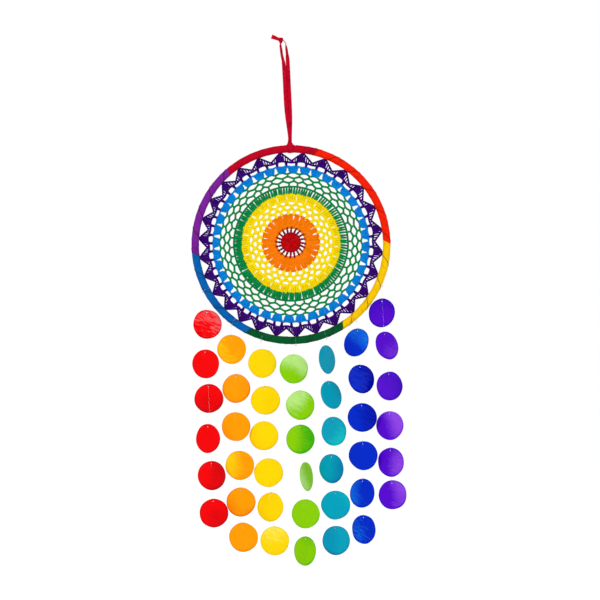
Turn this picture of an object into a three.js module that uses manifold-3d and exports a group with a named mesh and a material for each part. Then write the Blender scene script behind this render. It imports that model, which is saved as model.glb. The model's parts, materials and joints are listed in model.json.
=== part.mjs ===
// Crochet dreamcatcher: a ribbon loop, a cloth-wrapped hoop with a crochet web laced into it,
// and seven lines of dyed shell discs hanging from the lower half of the hoop.
// Millimetres. +Z is up, +X is right seen from the front, and the front faces -Y.
// The origin is where a hook carries the ribbon, at the top of its eye.

import * as THREE from 'three';
import { mergeVertices } from 'three/addons/utils/BufferGeometryUtils.js';
import Module from 'manifold-3d';

const wasm = await Module();
wasm.setup();

// Fits between neighbouring pieces, and how close two corners lie when they count as one
const FIT_GAP = 0.3;
const SAME_CORNER = 1e-4;

// Hoop: a steel ring inside six sleeves of wound cotton tape
const HOOP_OUTER_D = 220;
const WRAP_D = 8.4;
const CORE_D = 5.6;
const HOOP_SIDES = 8;
const WRAP_STEP_DEG = 7.5;

// Clock angle, clockwise from the top, at which each wrap colour begins
const WRAPS = [
  { name: 'crimson_wrap', start: 322.4, colour: 0xbe0020 },
  { name: 'orange_wrap', start: 18.4, colour: 0xf21e00 },
  { name: 'yellow_wrap', start: 91.4, colour: 0xfac400 },
  { name: 'green_wrap', start: 150.0, colour: 0x005428 },
  { name: 'blue_wrap', start: 209.2, colour: 0x005fac },
  { name: 'purple_wrap', start: 267.0, colour: 0x761e94 },
];

// Crochet web: rounds of cotton yarn in one flat net, each with its depth along the radius as it is worked.
// The lacing then draws the web out until its points reach the hoop.
const WEB_THICKNESS = 1.6;
const WEB_RISE = 2.8;
const RED_DEPTH = 10.5;
const SPOKE_DEPTH = 5.5;
const ORANGE_DEPTH = 15.5;
const YELLOW_NET_DEPTH = 14.5;
const YELLOW_BAND_DEPTH = 9;
const GREEN_BAND_DEPTH = 8;
const GREEN_NET_DEPTH = 15.5;
const BLUE_DEPTH = 8.2;
const ARCH_DEPTH = 3.9;
const PURPLE_BAND_DEPTH = 3.4;
const POINT_DEPTH = 5.8;
const POINT_COUNT = 27;
const POINT_START_DEG = 14.4;
const POINT_TIP_WIDTH = 2.4;
// The lacing pulls the points unevenly: they crowd on one side of the hoop and spread on the other,
// by a sine of this size that is nought at this clock angle
const POINT_PULL_DEG = 6;
const POINT_PULL_FROM_DEG = 56;
const PULL_ROUNDS = 30;
const SPOKE_COUNT = 20;
const SPOKE_WIDTH = 1.9;
const YELLOW_NET_COUNT = 29;
const YELLOW_NET_STRAND = 2.4;
const GREEN_NET_COUNT = 40;
const GREEN_NET_STRAND = 1.9;
const NET_ROWS = 3;
const ARCHES_PER_POINT = 2;
const ARCH_POST_WIDTH = 2.6;

// Outlines of the web's gaps, counter-clockwise, in shares of a gap's half width and half height.
// A gap's tip reaches no further from the middle of its row than this share of the row's height.
const ROUND_GAP = [[0, -1], [0.85, -0.3], [0.7, 0.5], [-0.7, 0.5], [-0.85, -0.3]];
const DIAMOND_GAP = [[0, -1], [1, 0], [0, 1], [-1, 0]];
const ARCH_GAP = [[0.6, -1], [1, 0], [0, 1], [-1, 0], [-0.6, -1]];
const GAP_TIP_REACH = 0.75;

// Lacing: one yarn wound round the hoop, one turn for each point of the web
const LACING_D = 0.8;
const LACING_SIDES = 5;
const LACING_STEPS_PER_TURN = 8;
const LACING_END_DEG = 3.2;

// Ribbon: a cotton strip tied into a loop and hitched round the hoop
const RIBBON_DROP = 115.8;
const RIBBON_THICKNESS = 2;
const RIBBON_TOP_BAND = 2.8;
const RIBBON_EYE_WIDTH = 5;
const RIBBON_EYE_HEIGHT = 21;
const RIBBON_LEG_WIDTH = 3.9;
const RIBBON_FOOT_WIDTH = 2;
const RIBBON_LEG_SLIT = 0.7;
const RIBBON_SLIT_END = 6;
const RIBBON_ARC_STEPS = 8;
const KNOT_R = 3.1;
const KNOT_SIDES = 8;
const KNOT_BANDS = 6;
const KNOT_X = -3.6;
const KNOT_Z = 4.4;
const TAIL_LENGTH = 11.5;
const TAIL_WIDTH = 4.2;
const TAIL_RISE_DEG = 24;
const HITCH_CLOCK_DEG = 2.4;
const HITCH_WIDTH = 5;
const HITCH_WALL = 1;
const HITCH_SIDES = 12;
const HITCH_NECK_HEIGHT = 9;
const HITCH_NECK_SEAT = 0.25;
const HITCH_NECK_SIDES = 8;

// Shell discs and the clear line that carries them
const DISC_D = 32.2;
const DISC_THICKNESS = 0.8;
const DISC_SIDES = 20;
const DISC_HOLE_D = 2;
const DISC_HOLE_SIDES = 6;
const DISC_HOLE_INSET = 3.3;
const LINE_D = 0.48;
const LINE_SIDES = 4;
const DISC_TIE_D = 0.36;
const DISC_TIE_SIDES = 4;
const LINE_TAIL = 1;
const HOOP_TIE_STEP_DEG = 30;
const HOOP_TIE_CLEAR_DEG = 25;

// Each strand: its clock angle on the hoop, the drop from there to its first disc's centre and then
// from disc to disc, and each disc's step aside from the strand's top, its turn on the line and its lean,
// by which its foot swings away from the line. Discs named in behind hang at the back of their line.
const STRANDS = [
  { name: 'red', clock: 245.0, colour: 0xf01414, behind: [3],
    drops: [36.5, 43.5, 38.5, 44, 41, 41.5],
    asides: [3.5, 0, 1, -1, 0.5, 0],
    turns: [14, -20, -4, -32, -14, 15],
    leans: [0, 1.5, 0, 4, 3.5, 2] },
  { name: 'orange', clock: 219.7, colour: 0xffa500, behind: [],
    drops: [27, 43.5, 42, 43, 40.5, 39],
    asides: [-0.5, 3, 0, 2, 1, 2],
    turns: [-8, -18, -10, -6, 8, -3],
    leans: [0, 4.5, 0, 0, 0, 0] },
  { name: 'yellow', clock: 200.3, colour: 0xffdc00, behind: [],
    drops: [25.5, 41, 39, 41, 38, 37.5],
    asides: [-0.5, 1.5, -2, 1, 3, 4],
    turns: [17, 6, -8, -5, -26, -6],
    leans: [5, 0, 0, 0, 12, 0] },
  { name: 'green', clock: 180.0, colour: 0x78c81e, behind: [],
    drops: [26.5, 40.5, 37.5, 41.5, 41, 41],
    asides: [-4, 1.5, 0, 2, 2, 0.5],
    turns: [12, -9, -13, 64, -17, -40],
    leans: [0, 0, 5.5, 5.5, 8, 9] },
  { name: 'turquoise', clock: 162.0, colour: 0x00a5b9, behind: [],
    drops: [23.5, 39.5, 40, 41, 40.5, 39],
    asides: [-2.5, -1.5, 1.5, -1, 0.5, -1.5],
    turns: [56, 46, 30, -33, 5, 18],
    leans: [4, 12.5, 5.5, 4, 0, 3.5] },
  { name: 'blue', clock: 142.4, colour: 0x0a32d2, behind: [],
    drops: [24.5, 40, 42.5, 42, 41.5, 40],
    asides: [2, 1, 1.5, 0.5, -1, -2],
    turns: [-34, 27, -6, -9, -33, -37],
    leans: [16.5, 9.5, 0, 0, 9.5, 3.5] },
  { name: 'purple', clock: 116.9, colour: 0x6414d2, behind: [1],
    drops: [30.5, 36.5, 44.5, 43.5, 40.5, 36],
    asides: [-1, -1.5, 1.5, 1, 0, -1],
    turns: [22, 38, 25, -24, -28, 12],
    leans: [8.5, 14, 1.5, 4.5, 1.5, 4] },
];

// Worked-out sizes
const WRAP_R = WRAP_D / 2;
const TUBE_R = HOOP_OUTER_D / 2 - WRAP_R;
const STEP_TURN = Math.cos(Math.PI / LACING_STEPS_PER_TURN);
const LACING_REACH = (WRAP_R + FIT_GAP + LACING_D / 2) / STEP_TURN;
const TIP_R = TUBE_R - LACING_REACH - LACING_D / 2 - FIT_GAP;
const POINT_STEP_DEG = 360 / POINT_COUNT;
const ROUND_DEPTHS = [
  RED_DEPTH, SPOKE_DEPTH, ORANGE_DEPTH, YELLOW_NET_DEPTH, YELLOW_BAND_DEPTH, GREEN_BAND_DEPTH,
  GREEN_NET_DEPTH, BLUE_DEPTH, ARCH_DEPTH, PURPLE_BAND_DEPTH, POINT_DEPTH,
];
const WEB_STRETCH = TIP_R / ROUND_DEPTHS.reduce((sum, depth) => sum + depth);
const ROUND_ENDS = ROUND_DEPTHS.map((_, i) => (
  WEB_STRETCH * ROUND_DEPTHS.slice(0, i + 1).reduce((sum, depth) => sum + depth)
));
const [
  RED_R, SPOKE_R, ORANGE_R, YELLOW_NET_R, YELLOW_R, GREEN_BAND_R, GREEN_R, BLUE_R, ARCH_R, VALLEY_R,
] = ROUND_ENDS;
const TIE_STEP_TURN = Math.cos(THREE.MathUtils.degToRad(HOOP_TIE_STEP_DEG / 2));
const TIE_REACH = (WRAP_R + FIT_GAP + LINE_D / 2) / TIE_STEP_TURN;
const DISC_R = DISC_D / 2;
const HOLE_Z = DISC_R - DISC_HOLE_INSET;
const DISC_OFFSET = (LINE_D + DISC_THICKNESS) / 2 + FIT_GAP;
const DISC_TIE_REACH = DISC_OFFSET + DISC_THICKNESS / 2 + FIT_GAP + DISC_TIE_D / 2;
const RIM_CLEAR_Z = DISC_R + FIT_GAP + DISC_TIE_D / 2;

// Web colours from the middle out, each with the radius where it ends
const WEB_COLOURS = [
  { end: SPOKE_R, colour: 0xc3000a },
  { end: ORANGE_R, colour: 0xff7d00 },
  { end: YELLOW_R, colour: 0xffdc00 },
  { end: GREEN_R, colour: 0x009150 },
  { end: BLUE_R, colour: 0x0082d7 },
  { end: HOOP_OUTER_D, colour: 0x3c0073 },
];

const rad = THREE.MathUtils.degToRad;
const hitchTurn = rad(HITCH_CLOCK_DEG);
const hoopCentre = new THREE.Vector3(
  -TUBE_R * Math.sin(hitchTurn), 0, -RIBBON_DROP - TUBE_R * Math.cos(hitchTurn),
);
const front = new THREE.Vector3(0, -1, 0);

// The direction from the hoop's centre to a clock angle, clockwise from the top
function outward(clockDeg) {
  return new THREE.Vector3(Math.sin(rad(clockDeg)), 0, Math.cos(rad(clockDeg)));
}

// A point beside the hoop's tube, measured from the hoop's centre: reach is the distance from the tube's
// middle line, and turn runs from 0 on the outside through 90 at the front to 180 on the inside
function besideTube(clockDeg, reach, turnDeg) {
  const point = outward(clockDeg).multiplyScalar(TUBE_R + reach * Math.cos(rad(turnDeg)));
  return point.addScaledVector(front, reach * Math.sin(rad(turnDeg)));
}

// A closed surface over a stack of rings that hold equally many points.
// The stack either closes on itself or ends in two flat caps.
function skin(rings, closed) {
  const sides = rings[0].length;
  const positions = rings.flat().flatMap((p) => [p.x, p.y, p.z]);
  const index = [];
  const bands = closed ? rings.length : rings.length - 1;
  for (let i = 0; i < bands; i += 1) {
    const low = i * sides;
    const high = ((i + 1) % rings.length) * sides;
    for (let j = 0; j < sides; j += 1) {
      const k = (j + 1) % sides;
      index.push(low + j, low + k, high + k, low + j, high + k, high + j);
    }
  }
  if (!closed) {
    const last = (rings.length - 1) * sides;
    for (let j = 1; j < sides - 1; j += 1) {
      index.push(0, j + 1, j, last, last + j, last + j + 1);
    }
  }
  const geometry = new THREE.BufferGeometry();
  geometry.setAttribute('position', new THREE.Float32BufferAttribute(positions, 3));
  geometry.setIndex(signedVolume(positions, index) < 0 ? index.reverse() : index);
  return geometry;
}

// Six times the volume inside an indexed surface, negative where its faces point in
function signedVolume(positions, index) {
  const corner = (i) => new THREE.Vector3().fromArray(positions, 3 * i);
  let volume = 0;
  for (let i = 0; i < index.length; i += 3) {
    volume += corner(index[i]).dot(corner(index[i + 1]).cross(corner(index[i + 2])));
  }
  return volume;
}

// A ring of points round a centre, in the plane of two directions
function ringOf(centre, across, along, radius, sides) {
  return Array.from({ length: sides }, (_, j) => {
    const turn = (2 * Math.PI * (j + 0.5)) / sides;
    return centre.clone().addScaledVector(across, radius * Math.cos(turn))
      .addScaledVector(along, radius * Math.sin(turn));
  });
}

// A tube along points that lie in one plane, square to the given direction, with mitred corners
function planarTube(points, square, radius, sides) {
  const sideways = points.slice(1).map((p, i) => p.clone().sub(points[i]).cross(square).normalize());
  const rings = points.map((p, i) => {
    const before = sideways[Math.max(i - 1, 0)];
    const after = sideways[Math.min(i, sideways.length - 1)];
    const mitre = before.clone().add(after).normalize();
    return ringOf(p, mitre.multiplyScalar(1 / mitre.dot(after)), square, radius, sides);
  });
  return skin(rings, false);
}

// Joining of closed surfaces into one
function toSolid(geometry) {
  const bare = geometry.clone();
  bare.deleteAttribute('normal');
  bare.deleteAttribute('uv');
  const merged = mergeVertices(bare, SAME_CORNER);
  return new wasm.Manifold(new wasm.Mesh({
    numProp: 3,
    vertProperties: new Float32Array(merged.attributes.position.array),
    triVerts: new Uint32Array(merged.index.array),
  }));
}

function joined(geometries) {
  const whole = geometries.map(toSolid).reduce((sum, next) => sum.add(next));
  const mesh = whole.getMesh();
  const geometry = new THREE.BufferGeometry();
  geometry.setAttribute('position', new THREE.BufferAttribute(new Float32Array(mesh.vertProperties), 3));
  geometry.setIndex(new THREE.BufferAttribute(new Uint32Array(mesh.triVerts), 1));
  return geometry;
}

function piece(name, geometry, colour, roughness, metalness = 0) {
  const material = new THREE.MeshStandardMaterial({ color: colour, roughness, metalness });
  const mesh = new THREE.Mesh(geometry, material);
  mesh.name = name;
  return mesh;
}

// Hoop core and wraps share the same stations along the hoop, so their flats lie parallel
function wrapStations(i) {
  const gapDeg = THREE.MathUtils.radToDeg(FIT_GAP / TUBE_R);
  const start = WRAPS[i].start;
  const end = WRAPS[(i + 1) % WRAPS.length].start;
  const sweep = ((end - start + 360) % 360) - gapDeg;
  const steps = Math.ceil(sweep / WRAP_STEP_DEG);
  return Array.from({ length: steps + 1 }, (_, k) => start + gapDeg / 2 + (sweep * k) / steps);
}

function hoopRing(clockDeg, radius) {
  const out = outward(clockDeg);
  return ringOf(out.clone().multiplyScalar(TUBE_R), out, front, radius, HOOP_SIDES);
}

function hoopCore() {
  const stations = WRAPS.flatMap((_, i) => wrapStations(i));
  return piece('hoop_core', skin(stations.map((c) => hoopRing(c, CORE_D / 2)), true), 0x9a9a9a, 0.4, 1);
}

function wrap(i) {
  const outer = wrapStations(i).map((c) => hoopRing(c, WRAP_R));
  const inner = wrapStations(i).map((c) => hoopRing(c, CORE_D / 2 + FIT_GAP));
  return piece(WRAPS[i].name, skin([...outer, ...inner.reverse()], true), WRAPS[i].colour, 0.85);
}

// The web's middle sits a little high in the hoop, and the rise fades out towards its points
function webPoint(radius, clockDeg) {
  const turn = rad(clockDeg);
  const rise = WEB_RISE * (1 - radius / TIP_R);
  return new THREE.Vector2(radius * Math.sin(turn), radius * Math.cos(turn) + rise);
}

// Where an evenly worked clock angle of the border ends up once the lacing has pulled it
function pulled(evenDeg) {
  return evenDeg + POINT_PULL_DEG * Math.sin(rad(evenDeg - POINT_PULL_FROM_DEG));
}

// The even clock angle that is pulled to a given one, found by correcting the last guess again and again
function unpulled(clockDeg) {
  let even = clockDeg;
  for (let i = 0; i < PULL_ROUNDS; i += 1) {
    even = clockDeg - POINT_PULL_DEG * Math.sin(rad(even - POINT_PULL_FROM_DEG));
  }
  return even;
}

// The angle that a width across takes up at a radius
function widthDeg(width, radius) {
  return THREE.MathUtils.radToDeg(width / radius);
}

function spokeGaps() {
  const step = 360 / SPOKE_COUNT;
  return Array.from({ length: SPOKE_COUNT }, (_, k) => {
    const middle = step * k;
    const inner = (step - widthDeg(SPOKE_WIDTH, RED_R)) / 2;
    const outer = (step - widthDeg(SPOKE_WIDTH, SPOKE_R)) / 2;
    return [
      webPoint(RED_R, middle + inner), webPoint(SPOKE_R, middle + outer),
      webPoint(SPOKE_R, middle - outer), webPoint(RED_R, middle - inner),
    ];
  });
}

// One gap of the web: a unit outline spread to a half height and to a half width in degrees
function webGap(outline, middleR, middleDeg, tall, wideDeg) {
  return outline.map(([across, up]) => webPoint(middleR + tall * up, middleDeg + wideDeg * across));
}

// Staggered rows of gaps between two radii, drawn in by half a strand on every side
function netGaps(innerR, outerR, count, strand, outline) {
  const rowHeight = (outerR - innerR) / NET_ROWS;
  const step = 360 / count;
  const gaps = [];
  for (let row = 0; row < NET_ROWS; row += 1) {
    const middleR = innerR + rowHeight * (row + 0.5);
    const halfWidth = (rad(step) * middleR) / 2;
    const flat = (halfWidth * rowHeight) / Math.hypot(halfWidth, rowHeight);
    const share = (flat - strand / 2) / flat;
    const tall = rowHeight * Math.min(share, GAP_TIP_REACH);
    for (let k = 0; k < count; k += 1) {
      gaps.push(webGap(outline, middleR, step * (k + (row % 2) / 2), tall, (step / 2) * share));
    }
  }
  return gaps;
}

function archGaps() {
  const count = POINT_COUNT * ARCHES_PER_POINT;
  const step = 360 / count;
  return Array.from({ length: count }, (_, k) => {
    const from = pulled(POINT_START_DEG + step * k);
    const to = pulled(POINT_START_DEG + step * (k + 1));
    const half = (to - from - widthDeg(ARCH_POST_WIDTH, BLUE_R)) / 2;
    return webGap(ARCH_GAP, (BLUE_R + ARCH_R) / 2, (from + to) / 2, (ARCH_R - BLUE_R) / 2, half);
  });
}

function webOutline() {
  const half = widthDeg(POINT_TIP_WIDTH / 2, TIP_R);
  const outline = [];
  for (let k = 0; k < POINT_COUNT; k += 1) {
    const tip = POINT_START_DEG + POINT_STEP_DEG * k;
    outline.push(webPoint(TIP_R, pulled(tip) - half), webPoint(TIP_R, pulled(tip) + half));
    outline.push(webPoint(VALLEY_R, pulled(tip + POINT_STEP_DEG / 2)));
  }
  return outline;
}

// Every corner of the web takes the colour of the round that its triangle's middle lies in
function paintRounds(geometry) {
  const position = geometry.attributes.position;
  const colours = new Float32Array(position.count * 3);
  const colour = new THREE.Color();
  for (let i = 0; i < position.count; i += 3) {
    const x = (position.getX(i) + position.getX(i + 1) + position.getX(i + 2)) / 3;
    const y = (position.getY(i) + position.getY(i + 1) + position.getY(i + 2)) / 3;
    const round = WEB_COLOURS.find((r) => Math.hypot(x, y) < r.end);
    for (let k = i; k < i + 3; k += 1) {
      colour.setHex(round.colour).toArray(colours, 3 * k);
    }
  }
  geometry.setAttribute('color', new THREE.BufferAttribute(colours, 3));
}

function crochetWeb() {
  const shape = new THREE.Shape(webOutline().reverse());
  const gaps = [
    ...spokeGaps(),
    ...netGaps(ORANGE_R, YELLOW_NET_R, YELLOW_NET_COUNT, YELLOW_NET_STRAND, ROUND_GAP),
    ...netGaps(GREEN_BAND_R, GREEN_R, GREEN_NET_COUNT, GREEN_NET_STRAND, DIAMOND_GAP),
    ...archGaps(),
  ];
  shape.holes = gaps.map((gap) => new THREE.Path(gap));
  const geometry = new THREE.ExtrudeGeometry(shape, { depth: WEB_THICKNESS, bevelEnabled: false });
  paintRounds(geometry);
  const web = piece('crochet_web', geometry, 0xffffff, 0.9);
  web.material.vertexColors = true;
  web.rotation.x = Math.PI / 2;
  web.position.y = WEB_THICKNESS / 2;
  return web;
}

// How far round the tube the lacing is at a clock angle: inside at each point of the web,
// then clockwise over the front to the outside and back behind the tube
function lacingTurn(clockDeg) {
  return 180 - (360 * (unpulled(clockDeg) - POINT_START_DEG)) / POINT_STEP_DEG;
}

function lacing() {
  const start = unpulled(HITCH_CLOCK_DEG + LACING_END_DEG);
  const sweep = unpulled(HITCH_CLOCK_DEG - LACING_END_DEG + 360) - start;
  const steps = Math.round((sweep / POINT_STEP_DEG) * LACING_STEPS_PER_TURN);
  const clocks = Array.from({ length: steps + 1 }, (_, i) => pulled(start + (sweep * i) / steps));
  const path = clocks.map((c) => besideTube(c, LACING_REACH, lacingTurn(c)));
  const rings = path.map((p, i) => {
    const ahead = path[Math.min(i + 1, steps)].clone().sub(path[Math.max(i - 1, 0)]).normalize();
    const up = p.clone().sub(outward(clocks[i]).multiplyScalar(TUBE_R));
    const side = ahead.clone().cross(up).normalize();
    return ringOf(p, side.clone().cross(ahead), side, LACING_D / 2, LACING_SIDES);
  });
  let gap = Infinity;
  path.forEach((p, i) => path.slice(i + LACING_STEPS_PER_TURN - 1).forEach((q) => {
    gap = Math.min(gap, p.distanceTo(q) - LACING_D);
  }));
  console.log(`lacing: least gap to itself ${gap.toFixed(2)} mm`);
  return piece('lacing_thread', skin(rings, false), 0x3c0073, 0.9);
}

// Ribbon: two legs with an eye between them at the top, a knot beside the eye and the knot's tail
function ribbonLoop() {
  const footZ = -RIBBON_DROP + WRAP_R + FIT_GAP + HITCH_WALL + HITCH_NECK_HEIGHT + FIT_GAP;
  const eyeR = RIBBON_EYE_WIDTH / 2;
  const slit = RIBBON_LEG_SLIT / 2;
  const shoulder = eyeR + RIBBON_TOP_BAND;
  const legHalf = RIBBON_LEG_WIDTH + slit;
  const outline = new THREE.Shape();
  outline.moveTo(RIBBON_FOOT_WIDTH, footZ);
  outline.lineTo(legHalf, (footZ - RIBBON_EYE_HEIGHT) / 2);
  outline.lineTo(shoulder, -eyeR);
  outline.absarc(0, -eyeR, shoulder, 0, Math.PI, false);
  outline.lineTo(-legHalf, (footZ - RIBBON_EYE_HEIGHT) / 2);
  outline.lineTo(-RIBBON_FOOT_WIDTH, footZ);
  const eye = new THREE.Path();
  eye.moveTo(slit, footZ + RIBBON_SLIT_END);
  eye.lineTo(slit, -RIBBON_EYE_HEIGHT);
  eye.lineTo(eyeR, -eyeR * 2);
  eye.lineTo(eyeR, -eyeR);
  eye.absarc(0, -eyeR, eyeR, 0, Math.PI, false);
  eye.lineTo(-eyeR, -eyeR * 2);
  eye.lineTo(-slit, -RIBBON_EYE_HEIGHT);
  eye.lineTo(-slit, footZ + RIBBON_SLIT_END);
  outline.holes = [eye];
  const strip = new THREE.ExtrudeGeometry(outline, {
    depth: RIBBON_THICKNESS, bevelEnabled: false, curveSegments: RIBBON_ARC_STEPS,
  });
  strip.translate(0, 0, -RIBBON_THICKNESS / 2);
  strip.rotateX(Math.PI / 2);
  const knot = new THREE.SphereGeometry(KNOT_R, KNOT_SIDES, KNOT_BANDS);
  knot.translate(KNOT_X, 0, KNOT_Z);
  const tail = new THREE.BoxGeometry(TAIL_LENGTH, RIBBON_THICKNESS, TAIL_WIDTH);
  tail.translate(-TAIL_LENGTH / 2, 0, 0);
  tail.rotateY(rad(TAIL_RISE_DEG));
  tail.translate(KNOT_X, 0, KNOT_Z);
  return piece('ribbon_loop', joined([strip, knot, tail]), 0xc80028, 0.8);
}

// Hitch: a band of ribbon round the hoop with a neck that narrows into the two legs
function ribbonHitch() {
  const alongTube = new THREE.Vector3(1, 0, 0);
  const up = new THREE.Vector3(0, 0, 1);
  const innerR = (WRAP_R + FIT_GAP) / Math.cos(Math.PI / HITCH_SIDES);
  const outerR = innerR + HITCH_WALL;
  const ends = [-HITCH_WIDTH / 2, HITCH_WIDTH / 2].map((x) => alongTube.clone().multiplyScalar(x));
  const outer = ends.map((p) => ringOf(p, up, front, outerR, HITCH_SIDES));
  const inner = ends.map((p) => ringOf(p, up, front, innerR, HITCH_SIDES));
  const band = skin([...outer, ...inner.reverse()], true);
  const neckTop = WRAP_R + FIT_GAP + HITCH_WALL + HITCH_NECK_HEIGHT;
  const baseMiddle = up.clone().multiplyScalar(innerR + HITCH_NECK_SEAT);
  const base = ringOf(baseMiddle, alongTube, front, HITCH_WIDTH / 2, HITCH_NECK_SIDES);
  const topMiddle = up.clone().multiplyScalar(neckTop);
  const top = ringOf(topMiddle, alongTube, front, RIBBON_FOOT_WIDTH, HITCH_NECK_SIDES);
  top.forEach((p) => p.setY(p.y * (RIBBON_THICKNESS / RIBBON_FOOT_WIDTH / 2)));
  const hitch = piece('ribbon_hitch', joined([band, skin([base, top], false)]), 0xc80028, 0.8);
  hitch.position.z = -RIBBON_DROP;
  return hitch;
}

function regularOutline(radius, sides) {
  return ringOf(new THREE.Vector3(), new THREE.Vector3(1, 0, 0), new THREE.Vector3(0, 1, 0), radius, sides);
}

// One flat shell disc standing upright, with the small hole that its tie passes through
function discGeometry() {
  const shape = new THREE.Shape(regularOutline(DISC_R, DISC_SIDES));
  const hole = regularOutline(DISC_HOLE_D / 2, DISC_HOLE_SIDES);
  shape.holes = [new THREE.Path(hole.map((p) => new THREE.Vector2(p.x, p.y + HOLE_Z)))];
  const geometry = new THREE.ExtrudeGeometry(shape, { depth: DISC_THICKNESS, bevelEnabled: false });
  geometry.translate(0, 0, -DISC_THICKNESS / 2);
  return geometry.rotateX(Math.PI / 2);
}

// The tie of one disc: from the line over the rim, down the other face and through the hole to the line
function discTie(turnDeg, leanDeg, side, centre) {
  const face = side * (DISC_TIE_REACH + (DISC_HOLE_INSET + DISC_TIE_D) * Math.tan(rad(leanDeg)));
  const route = [
    new THREE.Vector3(0, 0, RIM_CLEAR_Z), new THREE.Vector3(0, -face, RIM_CLEAR_Z),
    new THREE.Vector3(0, -face, HOLE_Z), new THREE.Vector3(0, 0, HOLE_Z),
  ];
  const tie = planarTube(route, new THREE.Vector3(1, 0, 0), DISC_TIE_D / 2, DISC_TIE_SIDES);
  return tie.rotateZ(rad(turnDeg)).translate(centre.x, centre.y, centre.z);
}

// The line's open loop round the hoop, which ends short of the lacing on both sides of it
function hoopTie(clockDeg) {
  const lacingAt = THREE.MathUtils.euclideanModulo(lacingTurn(clockDeg), 360);
  const from = lacingAt + HOOP_TIE_CLEAR_DEG - 360;
  const to = lacingAt - HOOP_TIE_CLEAR_DEG;
  const backSteps = Math.ceil(-from / HOOP_TIE_STEP_DEG);
  const frontSteps = Math.ceil(to / HOOP_TIE_STEP_DEG);
  const turns = [
    ...Array.from({ length: backSteps }, (_, k) => from * (1 - k / backSteps)),
    ...Array.from({ length: frontSteps + 1 }, (_, k) => (to * k) / frontSteps),
  ];
  const square = outward(clockDeg).cross(front);
  const start = besideTube(clockDeg, TIE_REACH, 0);
  const points = turns.map((t) => besideTube(clockDeg, TIE_REACH, t).sub(start));
  return planarTube(points, square, LINE_D / 2, LINE_SIDES);
}

// One strand, built down from the point where its line leaves the hoop
function strand(spec, geometry) {
  const group = new THREE.Group();
  group.name = `${spec.name}_strand`;
  group.position.copy(besideTube(spec.clock, TIE_REACH, 0));
  const route = [new THREE.Vector3()];
  const knots = [];
  let z = 0;
  spec.drops.forEach((drop, i) => {
    z -= drop;
    const centre = new THREE.Vector3(spec.asides[i], 0, z);
    const side = spec.behind.includes(i + 1) ? -1 : 1;
    const last = i === spec.drops.length - 1;
    const below = last ? HOLE_Z - LINE_TAIL : -RIM_CLEAR_Z;
    route.push(centre.clone().setZ(z + RIM_CLEAR_Z + LINE_TAIL), centre.clone().setZ(z + below));
    knots.push(discTie(spec.turns[i], spec.leans[i], side, centre));
    const holder = new THREE.Group();
    holder.name = `${spec.name}_disc_${i + 1}_axis`;
    holder.position.copy(centre);
    holder.rotation.z = rad(spec.turns[i]);
    const rim = new THREE.Group();
    rim.position.set(0, -side * DISC_OFFSET, DISC_R);
    rim.rotation.x = -side * rad(spec.leans[i]);
    const disc = piece(`${spec.name}_disc_${i + 1}`, geometry, spec.colour, 0.35);
    disc.position.z = -DISC_R;
    rim.add(disc);
    holder.add(rim);
    group.add(holder);
  });
  const run = planarTube(route, front, LINE_D / 2, LINE_SIDES);
  group.add(piece(`${spec.name}_line`, joined([run, hoopTie(spec.clock), ...knots]), 0xf2f2f2, 0.3));
  return group;
}

const dreamcatcher = new THREE.Group();
const hoop = new THREE.Group();
hoop.position.copy(hoopCentre);
hoop.add(hoopCore());
WRAPS.forEach((_, i) => hoop.add(wrap(i)));
hoop.add(crochetWeb(), lacing());
const shellDisc = discGeometry();
STRANDS.forEach((spec) => hoop.add(strand(spec, shellDisc)));
dreamcatcher.add(ribbonLoop(), ribbonHitch(), hoop);

export default dreamcatcher;
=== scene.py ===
# %% [markdown]
# # A crochet dreamcatcher
# A ring wound with coloured tape carries a round crochet web. It hangs from a knotted ribbon
# loop, and seven clear lines of dyed shell discs hang below it. The solids of the part give
# every place and every moving body. This lesson dresses them: each thread, tape and shell is
# a surface worked out with numpy. Loading the frame brings in the solids.

# %% Load the frame
import json

import bpy
import numpy as np
from mathutils import Matrix


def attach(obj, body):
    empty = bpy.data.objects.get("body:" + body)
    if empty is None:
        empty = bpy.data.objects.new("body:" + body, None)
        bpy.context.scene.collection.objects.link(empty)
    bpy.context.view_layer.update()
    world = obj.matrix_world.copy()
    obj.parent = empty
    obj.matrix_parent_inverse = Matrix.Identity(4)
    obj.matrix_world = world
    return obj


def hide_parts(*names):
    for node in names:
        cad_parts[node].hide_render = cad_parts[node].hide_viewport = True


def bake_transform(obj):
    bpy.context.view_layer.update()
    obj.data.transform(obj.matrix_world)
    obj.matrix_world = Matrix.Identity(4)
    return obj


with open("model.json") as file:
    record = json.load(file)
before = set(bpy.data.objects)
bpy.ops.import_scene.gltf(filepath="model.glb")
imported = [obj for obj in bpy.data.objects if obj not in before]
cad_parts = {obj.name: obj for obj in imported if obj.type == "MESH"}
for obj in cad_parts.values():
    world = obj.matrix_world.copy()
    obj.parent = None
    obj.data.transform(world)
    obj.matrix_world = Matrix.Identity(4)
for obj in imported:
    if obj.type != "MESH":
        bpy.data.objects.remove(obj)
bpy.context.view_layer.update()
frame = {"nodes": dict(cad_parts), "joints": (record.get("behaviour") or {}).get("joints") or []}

# %% [markdown]
# Everything is placed from a few sizes of the ring and from the joints of the frame. Angles
# on the ring are read like a clock face seen from the front: degrees clockwise from the top.
# One seeded random generator gives the small unevenness of handwork, the same in every run.

# %% Sizes and directions
MM = 0.001
ACROSS = np.array([1.0, 0.0, 0.0])
FRONT = np.array([0.0, -1.0, 0.0])
UP = np.array([0.0, 0.0, 1.0])
FULL_TURN = 2 * np.pi
rng = np.random.default_rng(7)

RING_R = 105.8 * MM
TAPE_R = 4.2 * MM
HITCH_CLOCK = 2.4
joint_places = {joint["name"]: np.array(joint["pos_m"], float) for joint in frame["joints"]}


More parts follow.
